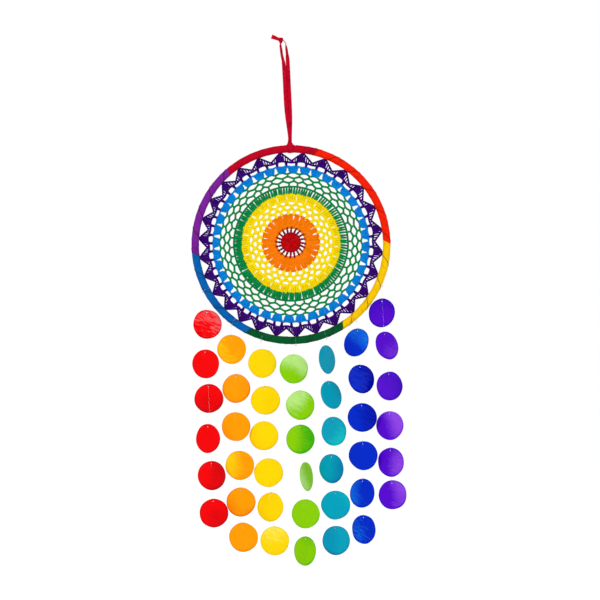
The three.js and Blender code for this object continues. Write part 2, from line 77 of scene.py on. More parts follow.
def unit(vectors):
    """Each vector divided by its own length."""
    return vectors / np.linalg.norm(vectors, axis=-1, keepdims=True)


def on_clock(radius, degrees):
    """A point on the clock face: radius times the sine across and times the cosine up."""
    turn = np.radians(degrees)
    flat = np.broadcast_arrays(radius * np.sin(turn), 0.0, radius * np.cos(turn))
    return np.stack(flat, axis=-1)


hitch_place = joint_places["hoop_swing"]
ring_centre = hitch_place - on_clock(RING_R, HITCH_CLOCK)
print("the ring's centre is at", np.round(ring_centre / MM, 1), "mm")

# %% [markdown]
# A finish is a node tree built on Blender's Principled shader. Small helpers keep the trees
# readable: one starts a finish and sets the plain numbers on the shader itself, one adds a
# node with its inputs, and the others use that one for arithmetic, noise, colour ramps and
# bump. Colours are written as the red, green and blue of a picture, from 0 to 255, and turned
# into the light that Blender works with.

# %% Finish helpers
def shade_of(colour, share, lift=0.0):
    """A colour with its light multiplied by share and raised by lift."""
    light = np.clip(np.array(colour[:3]) * share + lift, 0, 1)
    return (*light.tolist(), 1.0)


def paint(red, green, blue, bright=1.0):
    """Picture values to light: divided by 255 and raised as the sRGB curve asks."""
    value = np.array([red, green, blue]) / 255
    low = value / 12.92
    high = ((value + 0.055) / 1.055) ** 2.4
    return shade_of(np.where(value > 0.04045, high, low), bright)


def new_finish(name, roughness, **plain):
    """A Principled material. Plain names sockets with _ for spaces and gives their values."""
    finish = bpy.data.materials.new(name)
    finish.use_nodes = True
    shader = finish.node_tree.nodes["Principled BSDF"]
    shader.inputs["Roughness"].default_value = roughness
    for socket, value in plain.items():
        shader.inputs[socket.replace("_", " ")].default_value = value
    return finish


def add(finish, kind, inputs, output=0, **settings):
    """A node of that kind. Its inputs are constants or the outputs of other nodes."""
    node = finish.node_tree.nodes.new("ShaderNode" + kind)
    for key, value in settings.items():
        setattr(node, key, value)
    for key, value in inputs.items():
        if isinstance(value, bpy.types.NodeSocket):
            finish.node_tree.links.new(value, node.inputs[key])
        else:
            node.inputs[key].default_value = value
    return node.outputs[output]


def calc(finish, operation, *values):
    """Arithmetic on numbers or outputs."""
    return add(finish, "Math", dict(enumerate(values)), operation=operation)


def sine(finish, place, turns):
    """The sine of place, which goes through that many turns in each unit."""
    return calc(finish, "SINE", calc(finish, "MULTIPLY", place, FULL_TURN * turns))


def stored(finish, name):
    """A number that the mesh keeps for each of its points."""
    return add(finish, "Attribute", {}, "Fac", attribute_name=name)


def on_chart(finish, axis):
    """One way of the UV map: X is the length run along a piece, Y the share of the way round."""
    return add(finish, "SeparateXYZ", {"Vector": add(finish, "UVMap", {})}, axis)


def noise(finish, scale, detail, place=None, bend=0.0):
    """Cloudy noise from nought to one, over the object's own space or over another place."""
    if place is None:
        place = add(finish, "TexCoord", {}, "Object")
    inputs = {"Vector": place, "Scale": scale, "Detail": detail, "Distortion": bend}
    return add(finish, "TexNoise", inputs)


def wire(finish, socket, output):
    """Links an output to a socket of the finish's shader."""
    shader = finish.node_tree.nodes["Principled BSDF"]
    finish.node_tree.links.new(output, shader.inputs[socket])


def colour_by(finish, factor, *stops):
    """The base colour, read from a ramp: stops are (place from nought to one, colour)."""
    node = finish.node_tree.nodes.new("ShaderNodeValToRGB")
    elements = node.color_ramp.elements
    elements[0].position, elements[0].color = stops[0]
    elements[1].position, elements[1].color = stops[-1]
    for place, colour in stops[1:-1]:
        elements.new(place).color = colour
    finish.node_tree.links.new(factor, node.inputs["Fac"])
    wire(finish, "Base Color", node.outputs["Color"])


def emboss(finish, height, strength, depth):
    """Bump: a height of one stands depth metres proud."""
    inputs = {"Height": height, "Strength": strength, "Distance": depth}
    wire(finish, "Normal", add(finish, "Bump", inputs))


print("finish helpers ready")

# %% [markdown]
# The stage comes next, with the camera, because every later look is judged through it. The
# photograph is a plain shop picture: level with the object, from far away, on white. The
# floor and the world show white to the camera, to glossy rays and to rays through glass,
# while the light that falls on the object stays at a plain level. The floor lies well below
# the lowest disc and mixes in a little shaded white, so that a soft shadow remains.

# %% White stage
FLOOR_Z = -0.72
FLOOR_SIZE = 40.0
FLOOR_WHITE = (0.9, 0.9, 0.9, 1.0)
FLOOR_GLOW = 1.09
SHADOW_SHARE = 0.12


def into_scene(name, data):
    """A new object at the origin that shows a mesh, a lamp or a camera."""
    made = bpy.data.objects.new(name, data)
    bpy.context.scene.collection.objects.link(made)
    return made


def seen_directly(holder):
    """One for rays from the camera, off gloss or through glass, nought for lighting rays."""
    kinds = ("Is Camera Ray", "Is Glossy Ray", "Is Transmission Ray")
    to_camera, off_gloss, through_glass = (add(holder, "LightPath", {}, kind) for kind in kinds)
    return calc(holder, "MAXIMUM", calc(holder, "MAXIMUM", to_camera, off_gloss), through_glass)


def floor_finish():
    """White to the eye, with a little real shading of a matt white mixed in."""
    finish = new_finish("white floor", 0.9, Base_Color=FLOOR_WHITE)
    nodes = finish.node_tree.nodes
    share = calc(finish, "MULTIPLY", seen_directly(finish), 1 - SHADOW_SHARE)
    shaded = nodes["Principled BSDF"].outputs[0]
    glow = add(finish, "Emission", {"Strength": FLOOR_GLOW})
    mixed = add(finish, "MixShader", {0: share, 1: shaded, 2: glow})
    finish.node_tree.links.new(mixed, nodes["Material Output"].inputs["Surface"])
    return finish


def white_floor():
    """A square sheet at the floor's height."""
    half = FLOOR_SIZE / 2
    corners = [(-half, -half), (half, -half), (half, half), (-half, half)]
    mesh = bpy.data.meshes.new("floor")
    mesh.from_pydata([(x, y, FLOOR_Z) for x, y in corners], [], [(0, 1, 2, 3)])
    mesh.materials.append(floor_finish())
    into_scene("floor", mesh)


white_floor()
print("floor at", FLOOR_Z, "m")

# %% White world and soft lamps
WORLD_LIGHT = 0.54
scene = bpy.context.scene
scene.view_settings.view_transform = "Standard"
world = bpy.data.worlds.new("white room")
scene.world = world
world.use_nodes = True
sky = world.node_tree.nodes["Background"]
sky.inputs["Color"].default_value = (1, 1, 1, 1)
levels = {"Value": seen_directly(world), "To Min": WORLD_LIGHT, "To Max": 1.0}
level = add(world, "MapRange", levels, "Result")
world.node_tree.links.new(level, sky.inputs["Strength"])


def soft_lamp(name, place, aim, size, watts):
    """A square area lamp at a place, turned so that it shines at the point aim."""
    data = bpy.data.lights.new(name, "AREA")
    data.size = size
    data.energy = watts
    away = np.array(place) - np.array(aim)
    into_scene(name, data).matrix_world = looking_from(place, away, UP)


def looking_from(place, away, up):
    """A placing whose Z axis points along away and whose Y axis leans towards up."""
    back = unit(away)
    right = unit(np.cross(up, back))
    turned = np.eye(4)
    turned[:3, :3] = np.stack([right, np.cross(back, right), back], axis=1)
    turned[:3, 3] = place
    return Matrix(turned.tolist())


LAMP_AIM = (0.0, 0.0, -0.3)
soft_lamp("key lamp", (-1.1, -2.2, 1.1), LAMP_AIM, 1.6, 30)
soft_lamp("fill lamp", (1.9, -1.5, 0.2), LAMP_AIM, 1.6, 10)
soft_lamp("back lamp", (0.6, 2.2, 0.9), LAMP_AIM, 1.8, 22)
print("three soft lamps")

# %% Camera
SENSOR_WIDTH = 36.0
CAMERA_DISTANCE = 2.4
FRAME_WIDTH = 0.663
CAMERA_ROLL = 2.9
CAMERA_AIM = ring_centre + np.array([6.84, 0, -61.6]) * MM
camera_data = bpy.data.cameras.new("camera")
camera_data.sensor_width = SENSOR_WIDTH
camera_data.lens = SENSOR_WIDTH * CAMERA_DISTANCE / FRAME_WIDTH
camera = into_scene("camera", camera_data)
camera.matrix_world = looking_from(
    CAMERA_AIM + CAMERA_DISTANCE * FRONT, FRONT, on_clock(1.0, CAMERA_ROLL)
)
scene.camera = camera
print("lens", round(camera_data.lens, 1), "mm")

# %% [markdown]
# Lines, yarn and ribbon are all one kind of surface: a profile carried along a path. Blender's
# curve objects could do it too, but here the points are worked out as whole arrays, so that a
# hundred stitches are one calculation. A path needs two directions square to it at each point.
# One comes from a chosen facing direction, the other is square to both.

# %% Paths and what winds round them
def eased(t):
    """A smooth step from nought to one: 3 t² - 2 t³."""
    return t * t * (3 - 2 * t)


def loop_steps(count):
    """Even steps from nought to one step short of one, for a loop that closes on itself."""
    return np.arange(count) / count


def squared_off(angle, power):
    """The cosine and the sine of an angle, each raised to a power with its sign kept. Below
    one, the power turns a circle into a rounded rectangle."""
    return [np.sign(wave) * np.abs(wave) ** power for wave in (np.cos(angle), np.sin(angle))]


def axes_along(paths, facing, loop=False):
    """Side is facing crossed with the heading, over is the heading crossed with side. The
    heading is the difference of the two neighbouring points."""
    if loop:
        heading = unit(np.roll(paths, -1, axis=-2) - np.roll(paths, 1, axis=-2))
    else:
        heading = unit(np.gradient(paths, axis=-2))
    side = unit(np.cross(facing, heading))
    return side, np.cross(heading, side)


def tube_rings(paths, radius, sides, facing, loop):
    """Rings round each path: point + radius (cosine of a times side + sine of a times over),
    with a over one full turn. Radius is one number or one for each point."""
    side, over = axes_along(paths, facing, loop)
    angle = FULL_TURN * loop_steps(sides)[:, None]
    spoke = np.cos(angle) * side[..., None, :] + np.sin(angle) * over[..., None, :]
    reach = np.broadcast_to(radius, paths.shape[:-1])[..., None, None]
    return paths[..., None, :] + reach * spoke


def plies(paths, reach, turns, facing=FRONT):
    """Two strands twisted round each path: strand p stands off by reach at the angle
    turns times u plus p / 2 of a turn, where u runs from nought to one."""
    side, over = axes_along(paths, facing)
    u = np.linspace(0, 1, paths.shape[-2])
    turn = FULL_TURN * (turns * u + loop_steps(2)[:, None])[:, None, :, None]
    off = np.broadcast_to(reach, paths.shape[:-1])[..., None]
    wound = paths + off * (np.cos(turn) * side + np.sin(turn) * over)
    return wound.reshape(-1, *paths.shape[-2:])


def plaits(paths, half_width, half_depth, waves):
    """Three strands plaited along closed paths: strand p swings by half_width times the sine
    of f aside and by half_depth times the sine of 2 f over, with f = waves times u plus p / 3
    of a turn."""
    side, over = axes_along(paths, FRONT, loop=True)
    u = loop_steps(paths.shape[-2])
    f = FULL_TURN * (waves * u + loop_steps(3)[:, None])[:, None, :, None]
    laid = paths + half_width * np.sin(f) * side + half_depth * np.sin(2 * f) * over
    return laid.reshape(-1, *paths.shape[-2:])


print("path helpers ready")

# %% [markdown]
# Rings become a mesh by joining each ring to the next with four-cornered faces. The first
# coordinate of the UV map is the length run along the path, in metres, and the second goes
# from nought to one round it, so a yarn's twist can be painted at its true scale. Each tube
# also gets its own random shade in an attribute, as no two stretches of yarn look the same.

# %% From rings to meshes
def surface(rings, loop=False):
    """Joins rings[tube, station, corner] into faces from corner j to j + 1 and from station i
    to i + 1. Open ends are closed by one flat face, a loop joins its end to its start."""
    count, stations, sides = rings.shape[:3]
    index = np.arange(count * stations * sides).reshape(count, stations, sides)
    ends = [] if loop else np.concatenate([index[:, 0, ::-1], index[:, -1]]).tolist()
    middles = rings.mean(axis=2)
    if loop:
        index = np.concatenate([index, index[:, :1]], axis=1)
        middles = np.concatenate([middles, middles[:, :1]], axis=1)
    index = np.concatenate([index, index[:, :, :1]], axis=2)
    run = np.zeros(middles.shape[:2])
    run[:, 1:] = np.cumsum(np.linalg.norm(np.diff(middles, axis=1), axis=-1), axis=1)
    around = np.linspace(0, 1, sides + 1)
    chart = np.stack(np.broadcast_arrays(run[:, :, None], around), axis=-1)
    return {
        "points": rings.reshape(-1, 3),
        "quads": corners_of(index).reshape(-1, 4),
        "ends": ends,
        "chart": corners_of(chart[..., 0], chart[..., 1]).reshape(-1, 2),
        "tint": np.repeat(rng.random(count), stations * sides),
    }


def corners_of(*grids):
    """The four corners of each cell of a grid, in the order that makes faces point out."""
    cells = [
        np.stack([g[:, :-1, :-1], g[:, :-1, 1:], g[:, 1:, 1:], g[:, 1:, :-1]], axis=-1)
        for g in grids
    ]
    return cells[0] if len(cells) == 1 else np.stack(cells, axis=-1)


def tubes(paths, radius, sides, facing=FRONT, loop=False):
    """The surface of a round tube along each path."""
    return surface(tube_rings(paths, radius, sides, facing, loop), loop)


def piece(name, surfaces, finish, body, stands_for=()):
    """One object from several surfaces, with its finish, its body and the solids it replaces.
    Without a body it is left free."""
    shifts = np.cumsum([0] + [len(s["points"]) for s in surfaces])
    quads = np.concatenate([s["quads"] + n for s, n in zip(surfaces, shifts)])
    ends = [[i + n for i in end] for s, n in zip(surfaces, shifts) for end in s["ends"]]
    mesh = bpy.data.meshes.new(name)
    points = np.concatenate([s["points"] for s in surfaces])
    mesh.from_pydata(points.tolist(), [], quads.tolist() + ends)
    chart = np.zeros((len(mesh.loops), 2))
    chart[: quads.size] = np.concatenate([s["chart"] for s in surfaces])
    mesh.uv_layers.new(name="UVMap").data.foreach_set("uv", chart.ravel())
    tint = mesh.attributes.new("tint", "FLOAT", "POINT")
    tint.data.foreach_set("value", np.concatenate([s["tint"] for s in surfaces]))
    mesh.polygons.foreach_set("use_smooth", np.ones(len(mesh.polygons), bool))
    mesh.materials.append(finish)
    made = into_scene(name, mesh)
    if body:
        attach(made, body)
    if stands_for:
        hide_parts(*stands_for)
    print(name, len(mesh.polygons), "faces")
    return made


print("mesh helpers ready")

# %% [markdown]
# The shell discs hang on clear nylon line, tied round the ring. Nylon is half glass: it lets
# light through and shines along its length. A little cloudiness that changes along the line
# keeps it from looking like a perfect glass rod.

# %% Clear nylon
def nylon_finish():
    """Clear nylon, cloudier in places along its length."""
    finish = new_finish("clear nylon", 0.15, IOR=1.3, Transmission_Weight=0.97)
    cloud = noise(finish, 220.0, 2.0)
    colour_by(finish, cloud, (0.3, paint(240, 243, 245)), (0.7, paint(253, 254, 255)))
    wire(finish, "Roughness", calc(finish, "MULTIPLY_ADD", cloud, 0.2, 0.1))
    return finish


clear_nylon = nylon_finish()
print(clear_nylon.name)

# %% [markdown]
# Every strand is one length of line from the ring to its last disc. It steps a little aside
# from disc to disc, because each tie pulls it over. The route eases from one tie to the next
# by the smooth curve 3 t² - 2 t³.

# %% Where the discs hang
COLOURS = ("red", "orange", "yellow", "green", "turquoise", "blue", "purple")
DISCS = range(1, 7)
DISC_R = 16.1 * MM
HOLE_UP = 12.8 * MM
RIM_CLEAR = 16.58 * MM
LINE_R = 0.24 * MM
LINE_SIDES = 6
LINE_TAIL = 1.0 * MM
LINE_POINTS = 60


def line_route(colour):
    """Height falls evenly. Across eases by 3 t² - 2 t³ between the knots, which are the hang
    point and, for each disc, the places just over its rim and just under it."""
    ties = np.array([joint_places[f"{colour}_turn_{i}"] for i in DISCS])
    above = ties + (RIM_CLEAR + LINE_TAIL) * UP
    below = ties - RIM_CLEAR * UP
    below[-1] = ties[-1] + (HOLE_UP - LINE_TAIL) * UP
    pairs = np.stack([above, below], axis=1).reshape(-1, 3)
    knots = np.concatenate([[joint_places[f"{colour}_swing"]], pairs])
    height = np.linspace(knots[0, 2], knots[-1, 2], LINE_POINTS)
    below_knot = np.searchsorted(-knots[1:-1, 2], -height, side="right")
    first, last = knots[below_knot], knots[below_knot + 1]
    t = (first[:, 2] - height) / (first[:, 2] - last[:, 2])
    route = first + (last - first) * eased(t)[:, None]
    route[:, 2] = height
    return route


routes = {colour: line_route(colour) for colour in COLOURS}
print({colour: len(route) for colour, route in routes.items()})

# %% [markdown]
# On the ring each line is tied in a loop that runs round the tape and over the lacing yarn,
# with a few tight turns of knot below it. The loop belongs to the ring, so it stays there
# while the strand swings from the same point. To know where the lacing passes, the pull of
# the lacing comes first: the web has twenty-seven points, worked evenly, but the lacing crowds
# them on one side of the ring and spreads them on the other, by a slow sine.

# %% Loops on the ring
LOOP_R = TAPE_R + 0.65 * MM
LOOP_STEPS = 36
POINT_COUNT = 27
POINT_START = 14.4
POINT_STEP = 360 / POINT_COUNT
POINT_PULL = 6.0
POINT_PULL_FROM = 56.0
PULL_ROUNDS = 30
LACING_BUMP = 0.55 * MM
LACING_SPREAD = 26.0
KNOT_TURNS = 4
KNOT_STEPS = 40
KNOT_R = 0.42 * MM
KNOT_LENGTH = 1.6 * MM


def pulled(even):
    """Where an evenly worked clock angle ends up: moved on by a sine of itself."""
    return even + POINT_PULL * np.sin(np.radians(even - POINT_PULL_FROM))


def unpulled(clock):
    """The even angle that is pulled to clock: each guess is corrected by the last one's error."""
    even = clock
    for _ in range(PULL_ROUNDS):
        even = even + clock - pulled(even)
    return even


def lacing_turn(clock):
    """Where the lacing is round the tape: at the inside on each web point, one turn later on
    the next. Nought is outside, a quarter turn is in front, half a turn is inside."""
    return 180 - 360 * (unpulled(clock) - POINT_START) / POINT_STEP


def round_tape(clock, turn, reach):
    """A point beside the ring: out from the tape's middle by reach, at that turn round it."""
    clock, turn, reach = np.broadcast_arrays(clock, np.radians(turn), reach)
    forward = (reach * np.sin(turn))[..., None] * FRONT
    return ring_centre + on_clock(RING_R + reach * np.cos(turn), clock) + forward


def ring_loop(clock):
    """A closed loop round the tape that rises over the lacing by a bell-shaped bump."""
    turn = 360 * loop_steps(LOOP_STEPS)
    apart = (turn - lacing_turn(clock) + 180) % 360 - 180
    reach = LOOP_R + LACING_BUMP * np.exp(-((apart / LACING_SPREAD) ** 2))
    return round_tape(clock, turn, reach)[None]


def barrel_knot(place):
    """A short helix of line below the tie: radius KNOT_R, KNOT_TURNS turns."""
    down = np.linspace(0, 1, KNOT_STEPS + 1)
    turn = FULL_TURN * KNOT_TURNS * down
    drop = KNOT_LENGTH * down + LINE_R
    coil = np.stack([KNOT_R * np.cos(turn), KNOT_R * np.sin(turn), -drop], axis=-1)
    return (place + coil)[None]


for colour in COLOURS:
    hang = joint_places[f"{colour}_swing"]
    out = hang - ring_centre
    hang_clock = np.degrees(np.arctan2(out[0], out[2])) % 360
    beside = on_clock(1.0, hang_clock + 90)
    loop = tubes(ring_loop(hang_clock), LINE_R, LINE_SIDES, beside, loop=True)
    knot = tubes(barrel_knot(hang), LINE_R, LINE_SIDES, UP)
    piece(f"{colour}_ring_tie", [loop, knot], clear_nylon, "hoop", [f"{colour}_line"])

# %% [markdown]
# A capiz disc is a flake of window shell, cut round, bored near its rim and dyed. It is thin,
# slightly bowed and never quite flat or round. The surface is one closed skin: from the hole
# out over the front to the rim, round the edge, and back over the other face into the hole.
# A flat cylinder would do for the outline, but the bow and the wavy rim catch the light.
# Each disc takes its place and tilt from its solid: the thinnest direction of the solid's
# points is the way the disc faces.

# %% Where each disc lies
def disc_axes(node, tie):
    """Middle, facing, across and upward directions of a disc, and the side of the line that
    it hangs on. Facing is the last direction of a singular value decomposition."""
    mesh = frame["nodes"][node].data
    points = np.zeros(len(mesh.vertices) * 3)
    mesh.vertices.foreach_get("co", points)
    points = points.reshape(-1, 3)
    facing = np.linalg.svd(points - points.mean(axis=0), full_matrices=False)[2][2]
    facing = -facing if facing[1] > 0 else facing
    upward = unit(UP - (UP @ facing) * facing)
    across = np.cross(upward, facing)
    basis = np.stack([across, facing, upward])
    reach = points @ basis.T
    middle = (reach.min(axis=0) + reach.max(axis=0)) / 2 @ basis
    level = unit(facing * np.array([1, 1, 0]))
    side = np.sign((middle + DISC_R * upward - tie) @ level)
    return {"middle": middle, "basis": basis, "side": side, "level": side * level}


places = {}
for colour in COLOURS:
    for i in DISCS:
        tie = joint_places[f"{colour}_turn_{i}"]
        places[colour, i] = disc_axes(f"{colour}_disc_{i}", tie)
print(len(places), "discs placed")

# %% Shell surfaces
DISC_FLAKE = 0.36 * MM
HOLE_R = 0.6 * MM
BOW = 0.55 * MM
RIM_WAVE = 0.22 * MM
RIPPLE = 0.12 * MM
RIM_SHARE = 0.985
HOLE_SHARE = -0.012
WORN_EDGE = 0.8
AROUND = 56
FACE_STEPS = 9


def shell_profile():
    """Share of the way from hole to rim, and half thickness, once round the closed skin."""
    out = np.linspace(0, 1, FACE_STEPS) ** 0.8
    share = np.concatenate([out * RIM_SHARE, [1.0], out[::-1] * RIM_SHARE, [HOLE_SHARE]])
    half = np.concatenate([np.ones(FACE_STEPS), [0], -np.ones(FACE_STEPS), [0]])
    half[0] = half[FACE_STEPS - 1] = WORN_EDGE
    half[FACE_STEPS + 1] = half[-2] = -WORN_EDGE
    return share[:, None], half[:, None]


def shell(place):
    """Points run straight from the hole's circle to the rim, whose radius is DISC_R plus a few
    slow sines. The skin bows out from the line by BOW (1 - distance² / radius²) and is warped
    by random shares of across times upward, across² and across."""
    angle = FULL_TURN * loop_steps(AROUND)
    lobes = np.arange(2, 7)
    size = rng.normal(0, RIM_WAVE, (2, len(lobes))) / lobes
    waves = np.stack([np.cos(lobes * angle[:, None]), np.sin(lobes * angle[:, None])])
    rim = DISC_R + np.einsum("kl,kal->a", size, waves)
    share, half = shell_profile()
    across = (1 - share) * HOLE_R * np.sin(angle) + share * rim * np.sin(angle)
    upward = (1 - share) * (HOLE_UP + HOLE_R * np.cos(angle)) + share * rim * np.cos(angle)
    bend = rng.normal(0, 1, 4)
    away = (across**2 + upward**2) / DISC_R**2
    ripple = bend[0] * across * upward + bend[1] * across**2 + bend[2] * across * DISC_R
    lift = BOW * (1 - away) * (0.7 + 0.3 * np.tanh(bend[3])) + RIPPLE * ripple / DISC_R**2
    out = lift * place["side"] + half * DISC_FLAKE
    skin = np.stack([across, out, upward], axis=-1)
    return place["middle"] + skin @ place["basis"], across / DISC_R, upward / DISC_R


print("shell surface ready")

# %% [markdown]
# Dye sinks unevenly into shell. Each disc is paler on one side, and some show streaks along
# the growth lines. On yellow 6 and blue 6 the pale side and the strong streaks, and on blue 2
# the strong streaks, are painted sheen instead: pale patches that stand for gloss highlights.
# Each entry below says how much paler, towards which clock angle, and how strongly streaked.
# A negative first number makes that side deeper instead. The depth of dye is worked out for
# every point and stored in an attribute that the finish reads.

# %% Dye of every disc
# Yellow 6 and blue 6 take their pale side and strong streaks from painted sheen, and blue 2 its
# strong streaks.
TONES = {
    "red": (
        (0.5, 50, 1.3), (0.05, 300, 0.1), (-0.2, 135, 0.2),
        (0.05, 0, 0.1), (-0.25, 110, 0.1), (-0.15, 140, 0.1),
    ),
    "orange": (
        (0.5, 235, 0.5), (-0.1, 180, 0.1), (0.15, 320, 0.1),
        (0.6, 280, 0.2), (-0.15, 225, 0.2), (0.1, 60, 0.1),
    ),
    "yellow": (
        (0.1, 0, 0.2), (-0.1, 90, 0.1), (-0.1, 200, 0.1),
        (0.1, 270, 0.1), (-0.15, 240, 0.1), (0.4, 350, 0.6),
    ),
    "green": (
        (0.75, 30, 0.2), (0.6, 320, 0.5), (-0.4, 100, 0.2),
        (0.55, 250, 0.2), (0.05, 260, 0.2), (-0.15, 40, 0.2),
    ),
    "turquoise": (
        (0.1, 0, 0.1), (0.05, 310, 0.2), (0.45, 150, 0.2),
        (-0.3, 120, 0.1), (0.25, 60, 0.1), (-0.2, 240, 0.1),
    ),
    "blue": (
        (0.5, 40, 0.2), (-0.4, 75, 0.9), (-0.3, 80, 0.4),
        (0.05, 180, 0.2), (0.45, 270, 0.2), (0.35, 250, 0.7),
    ),
    "purple": (
        (-0.3, 350, 0.3), (0.35, 120, 0.2), (-0.25, 90, 0.1),
        (0.65, 60, 0.1), (0.5, 110, 0.2), (0.5, 80, 0.2),
    ),
}
DYE_MIDDLE = 0.6
DYE_SPREAD = 0.42
RIM_DEPTH = 0.3
RIM_FROM = 0.88
CLOUD_DEPTH = 0.07


def dye_depth(pale, towards, across, upward):
    """Middle depth less pale times a soft step from the far side to the near side, with a
    slow cloud of two sines whose phase is random for each disc. The colour is deeper near
    the rim."""
    aim = on_clock(1.0, towards)
    near = np.clip((across * aim[0] + upward * aim[2]) * DYE_SPREAD + 0.5, 0, 1)
    phase = rng.uniform(0, FULL_TURN, 2)
    cloud = np.sin(2.3 * across + 1.1 * upward + phase[0])
    cloud = cloud * np.sin(1.7 * upward - across + phase[1])
    rim = np.clip((np.hypot(across, upward) - RIM_FROM) / (1 - RIM_FROM), 0, 1)
    return DYE_MIDDLE - pale * eased(near) + CLOUD_DEPTH * cloud + RIM_DEPTH * rim * rim


print(len(TONES), "dyes")

# %% [markdown]
# Dyed shell has a soft, pearly gloss. The finish reads the depth of dye, adds the streaks of
# the shell's growth, drawn out along one way, and fine flecks, then looks the colour up between
# a pale, a full and a deep dye. On a few discs the strong streaks are painted sheen. A thin
# clear coat gives the gloss, and a shallow bump along the streaks breaks the reflections up.

# %% Shell finish
DYES = {
    "red": ((255, 96, 100), (249, 2, 6), (176, 0, 12)),
    "orange": ((255, 208, 10), (255, 159, 0), (240, 92, 0)),
    "yellow": ((255, 240, 90), (255, 218, 0), (246, 184, 0)),
    "green": ((186, 236, 128), (138, 208, 2), (60, 176, 4)),
    "turquoise": ((16, 206, 200), (0, 163, 189), (0, 118, 172)),
    "blue": ((20, 118, 238), (0, 43, 202), (0, 8, 160)),
    "purple": ((146, 70, 232), (88, 6, 209), (46, 0, 182)),
}
DYE_STOPS = (0.06, 0.42, 0.66, 1.0)


def shell_finish(colour):
    """Colour ramp of dye depth plus growth streaks, under a thin clear coat. On a few discs the
    streaks carry painted sheen.
    """
    finish = new_finish(
        f"{colour} shell", 0.32, Coat_Weight=0.02, Coat_Roughness=0.2, Specular_IOR_Level=0.04
    )
    chart = add(finish, "UVMap", {})
    fleck = noise(finish, 9.0, 5.0, chart, 0.6)
    along = {"Vector": chart, "Rotation": (0.0, 0.0, -0.5), "Scale": (0.6, 0.11, 1.0)}
    grain = add(finish, "Mapping", along, vector_type="TEXTURE")
    growth = noise(finish, 1.0, 4.0, grain, 0.9)
    drift, speck = (calc(finish, "SUBTRACT", cloud, 0.5) for cloud in (growth, fleck))
    # On yellow 6, blue 6 and blue 2 these streaks are painted sheen.
    streaks = calc(finish, "MULTIPLY", drift, stored(finish, "streak_and_sheen"))
    depth = calc(finish, "MULTIPLY_ADD", streaks, 1.4, stored(finish, "tint"))
    depth = calc(finish, "MULTIPLY_ADD", speck, 0.28, depth)
    pale, full, deep = (paint(*tone) for tone in DYES[colour])
    stops = zip(DYE_STOPS, (pale, full, full, deep))
    colour_by(finish, depth, *stops)
    wire(finish, "Roughness", calc(finish, "MULTIPLY_ADD", fleck, 0.22, 0.2))
    emboss(finish, growth, 0.12, 0.15 * MM)
    return finish


shell_finishes = {colour: shell_finish(colour) for colour in COLOURS}
print(len(shell_finishes), "shell finishes")

# %% The discs
CUT_APART = 3.0


def disc_piece(colour, i):
    """A shell with its dye attribute and its streak attribute, which on a few discs carries
    painted sheen, riding its own body. Its chart is moved by CUT_APART for each disc and strand,
    as if each were cut from another place of the shell."""
    pale, towards, streak_and_sheen_share = TONES[colour][i - 1]
    skin, across, upward = shell(places[colour, i])
    made = surface(skin[None], loop=True)
    chart = np.stack([across, upward], axis=-1) + CUT_APART * np.array([COLOURS.index(colour), i])
    made["chart"] = chart.reshape(-1, 2)[made["quads"].ravel()]
    made["tint"] = dye_depth(pale, towards, across, upward).ravel()
    name, body, slot = f"{colour}_shell_{i}", f"{colour}_{i}", f"{colour}_shell"
    disc = piece(name, [made], shell_finishes[colour], body, [f"{colour}_disc_{i}"])
    streak_and_sheen = disc.data.attributes.new("streak_and_sheen", "FLOAT", "POINT")
    streak_and_sheen.data.foreach_set("value", np.full(len(disc.data.vertices), streak_and_sheen_share))
    return disc


discs = {(colour, i): disc_piece(colour, i) for colour in COLOURS for i in DISCS}

# %% [markdown]
# A short loop of thinner line goes through the hole of each disc, over its rim and round the
# strand. It is a rounded rectangle seen from the side: a circle whose sine and cosine are
# raised to a power below one. The loop rides its disc, so it turns with it.

# %% Ties through the discs
TIE_R = 0.18 * MM
TIE_SIDES = 5
TIE_POWER = 0.6
TIE_STEPS = 28
TIE_BEHIND = 0.35 * MM
TIE_PROUD = 0.75 * MM


def tie_loop(place, tie):
    """Across the disc from just behind the line to just proud of the shell, and upward from
    the hole to over the rim, as a squared-off circle."""
    hole = place["middle"] + HOLE_UP * place["basis"][2] - tie
    far = hole @ place["level"] + TIE_PROUD
    low = hole @ UP
    aside, upward = squared_off(FULL_TURN * loop_steps(TIE_STEPS), TIE_POWER)
    out = (far - TIE_BEHIND) / 2 + (far + TIE_BEHIND) / 2 * aside
    rise = (RIM_CLEAR + low) / 2 + (RIM_CLEAR - low) / 2 * upward
    return (tie + out[:, None] * place["level"] + rise[:, None] * UP)[None]


def tie_piece(colour, i):
    """The tie as a thin closed tube that rides its disc's body."""
    place = places[colour, i]
    path = tie_loop(place, joint_places[f"{colour}_turn_{i}"])
    tube = tubes(path, TIE_R, TIE_SIDES, np.cross(place["level"], UP), loop=True)
    return piece(f"{colour}_disc_tie_{i}", [tube], clear_nylon, f"{colour}_{i}")


ties = {(colour, i): tie_piece(colour, i) for colour in COLOURS for i in DISCS}

# %% The seven lines
for colour in COLOURS:
    route = routes[colour]
    line = tubes(route[None], LINE_R, LINE_SIDES)
    strand = f"{colour}_strand"
    made = piece(f"{colour}_nylon", [line], clear_nylon, strand, [f"{colour}_line"])

# %% [markdown]
# The hanging loop is one narrow cotton ribbon. One leg rises from the hitch on the ring into
# a knot, and an arch goes on from the knot and comes down as the other leg. A ribbon is a flat
# profile carried along a route, and it rolls on the way: flat to the front on the legs, and
# turned on edge over the arch. Each station of the route gives a place, the way the flat faces
# and a share of the full width, and a smooth spline passes through all the places.

# %% A flat strip along a route
STRIP_POWER = 0.7
STRIP_CUP = 0.12


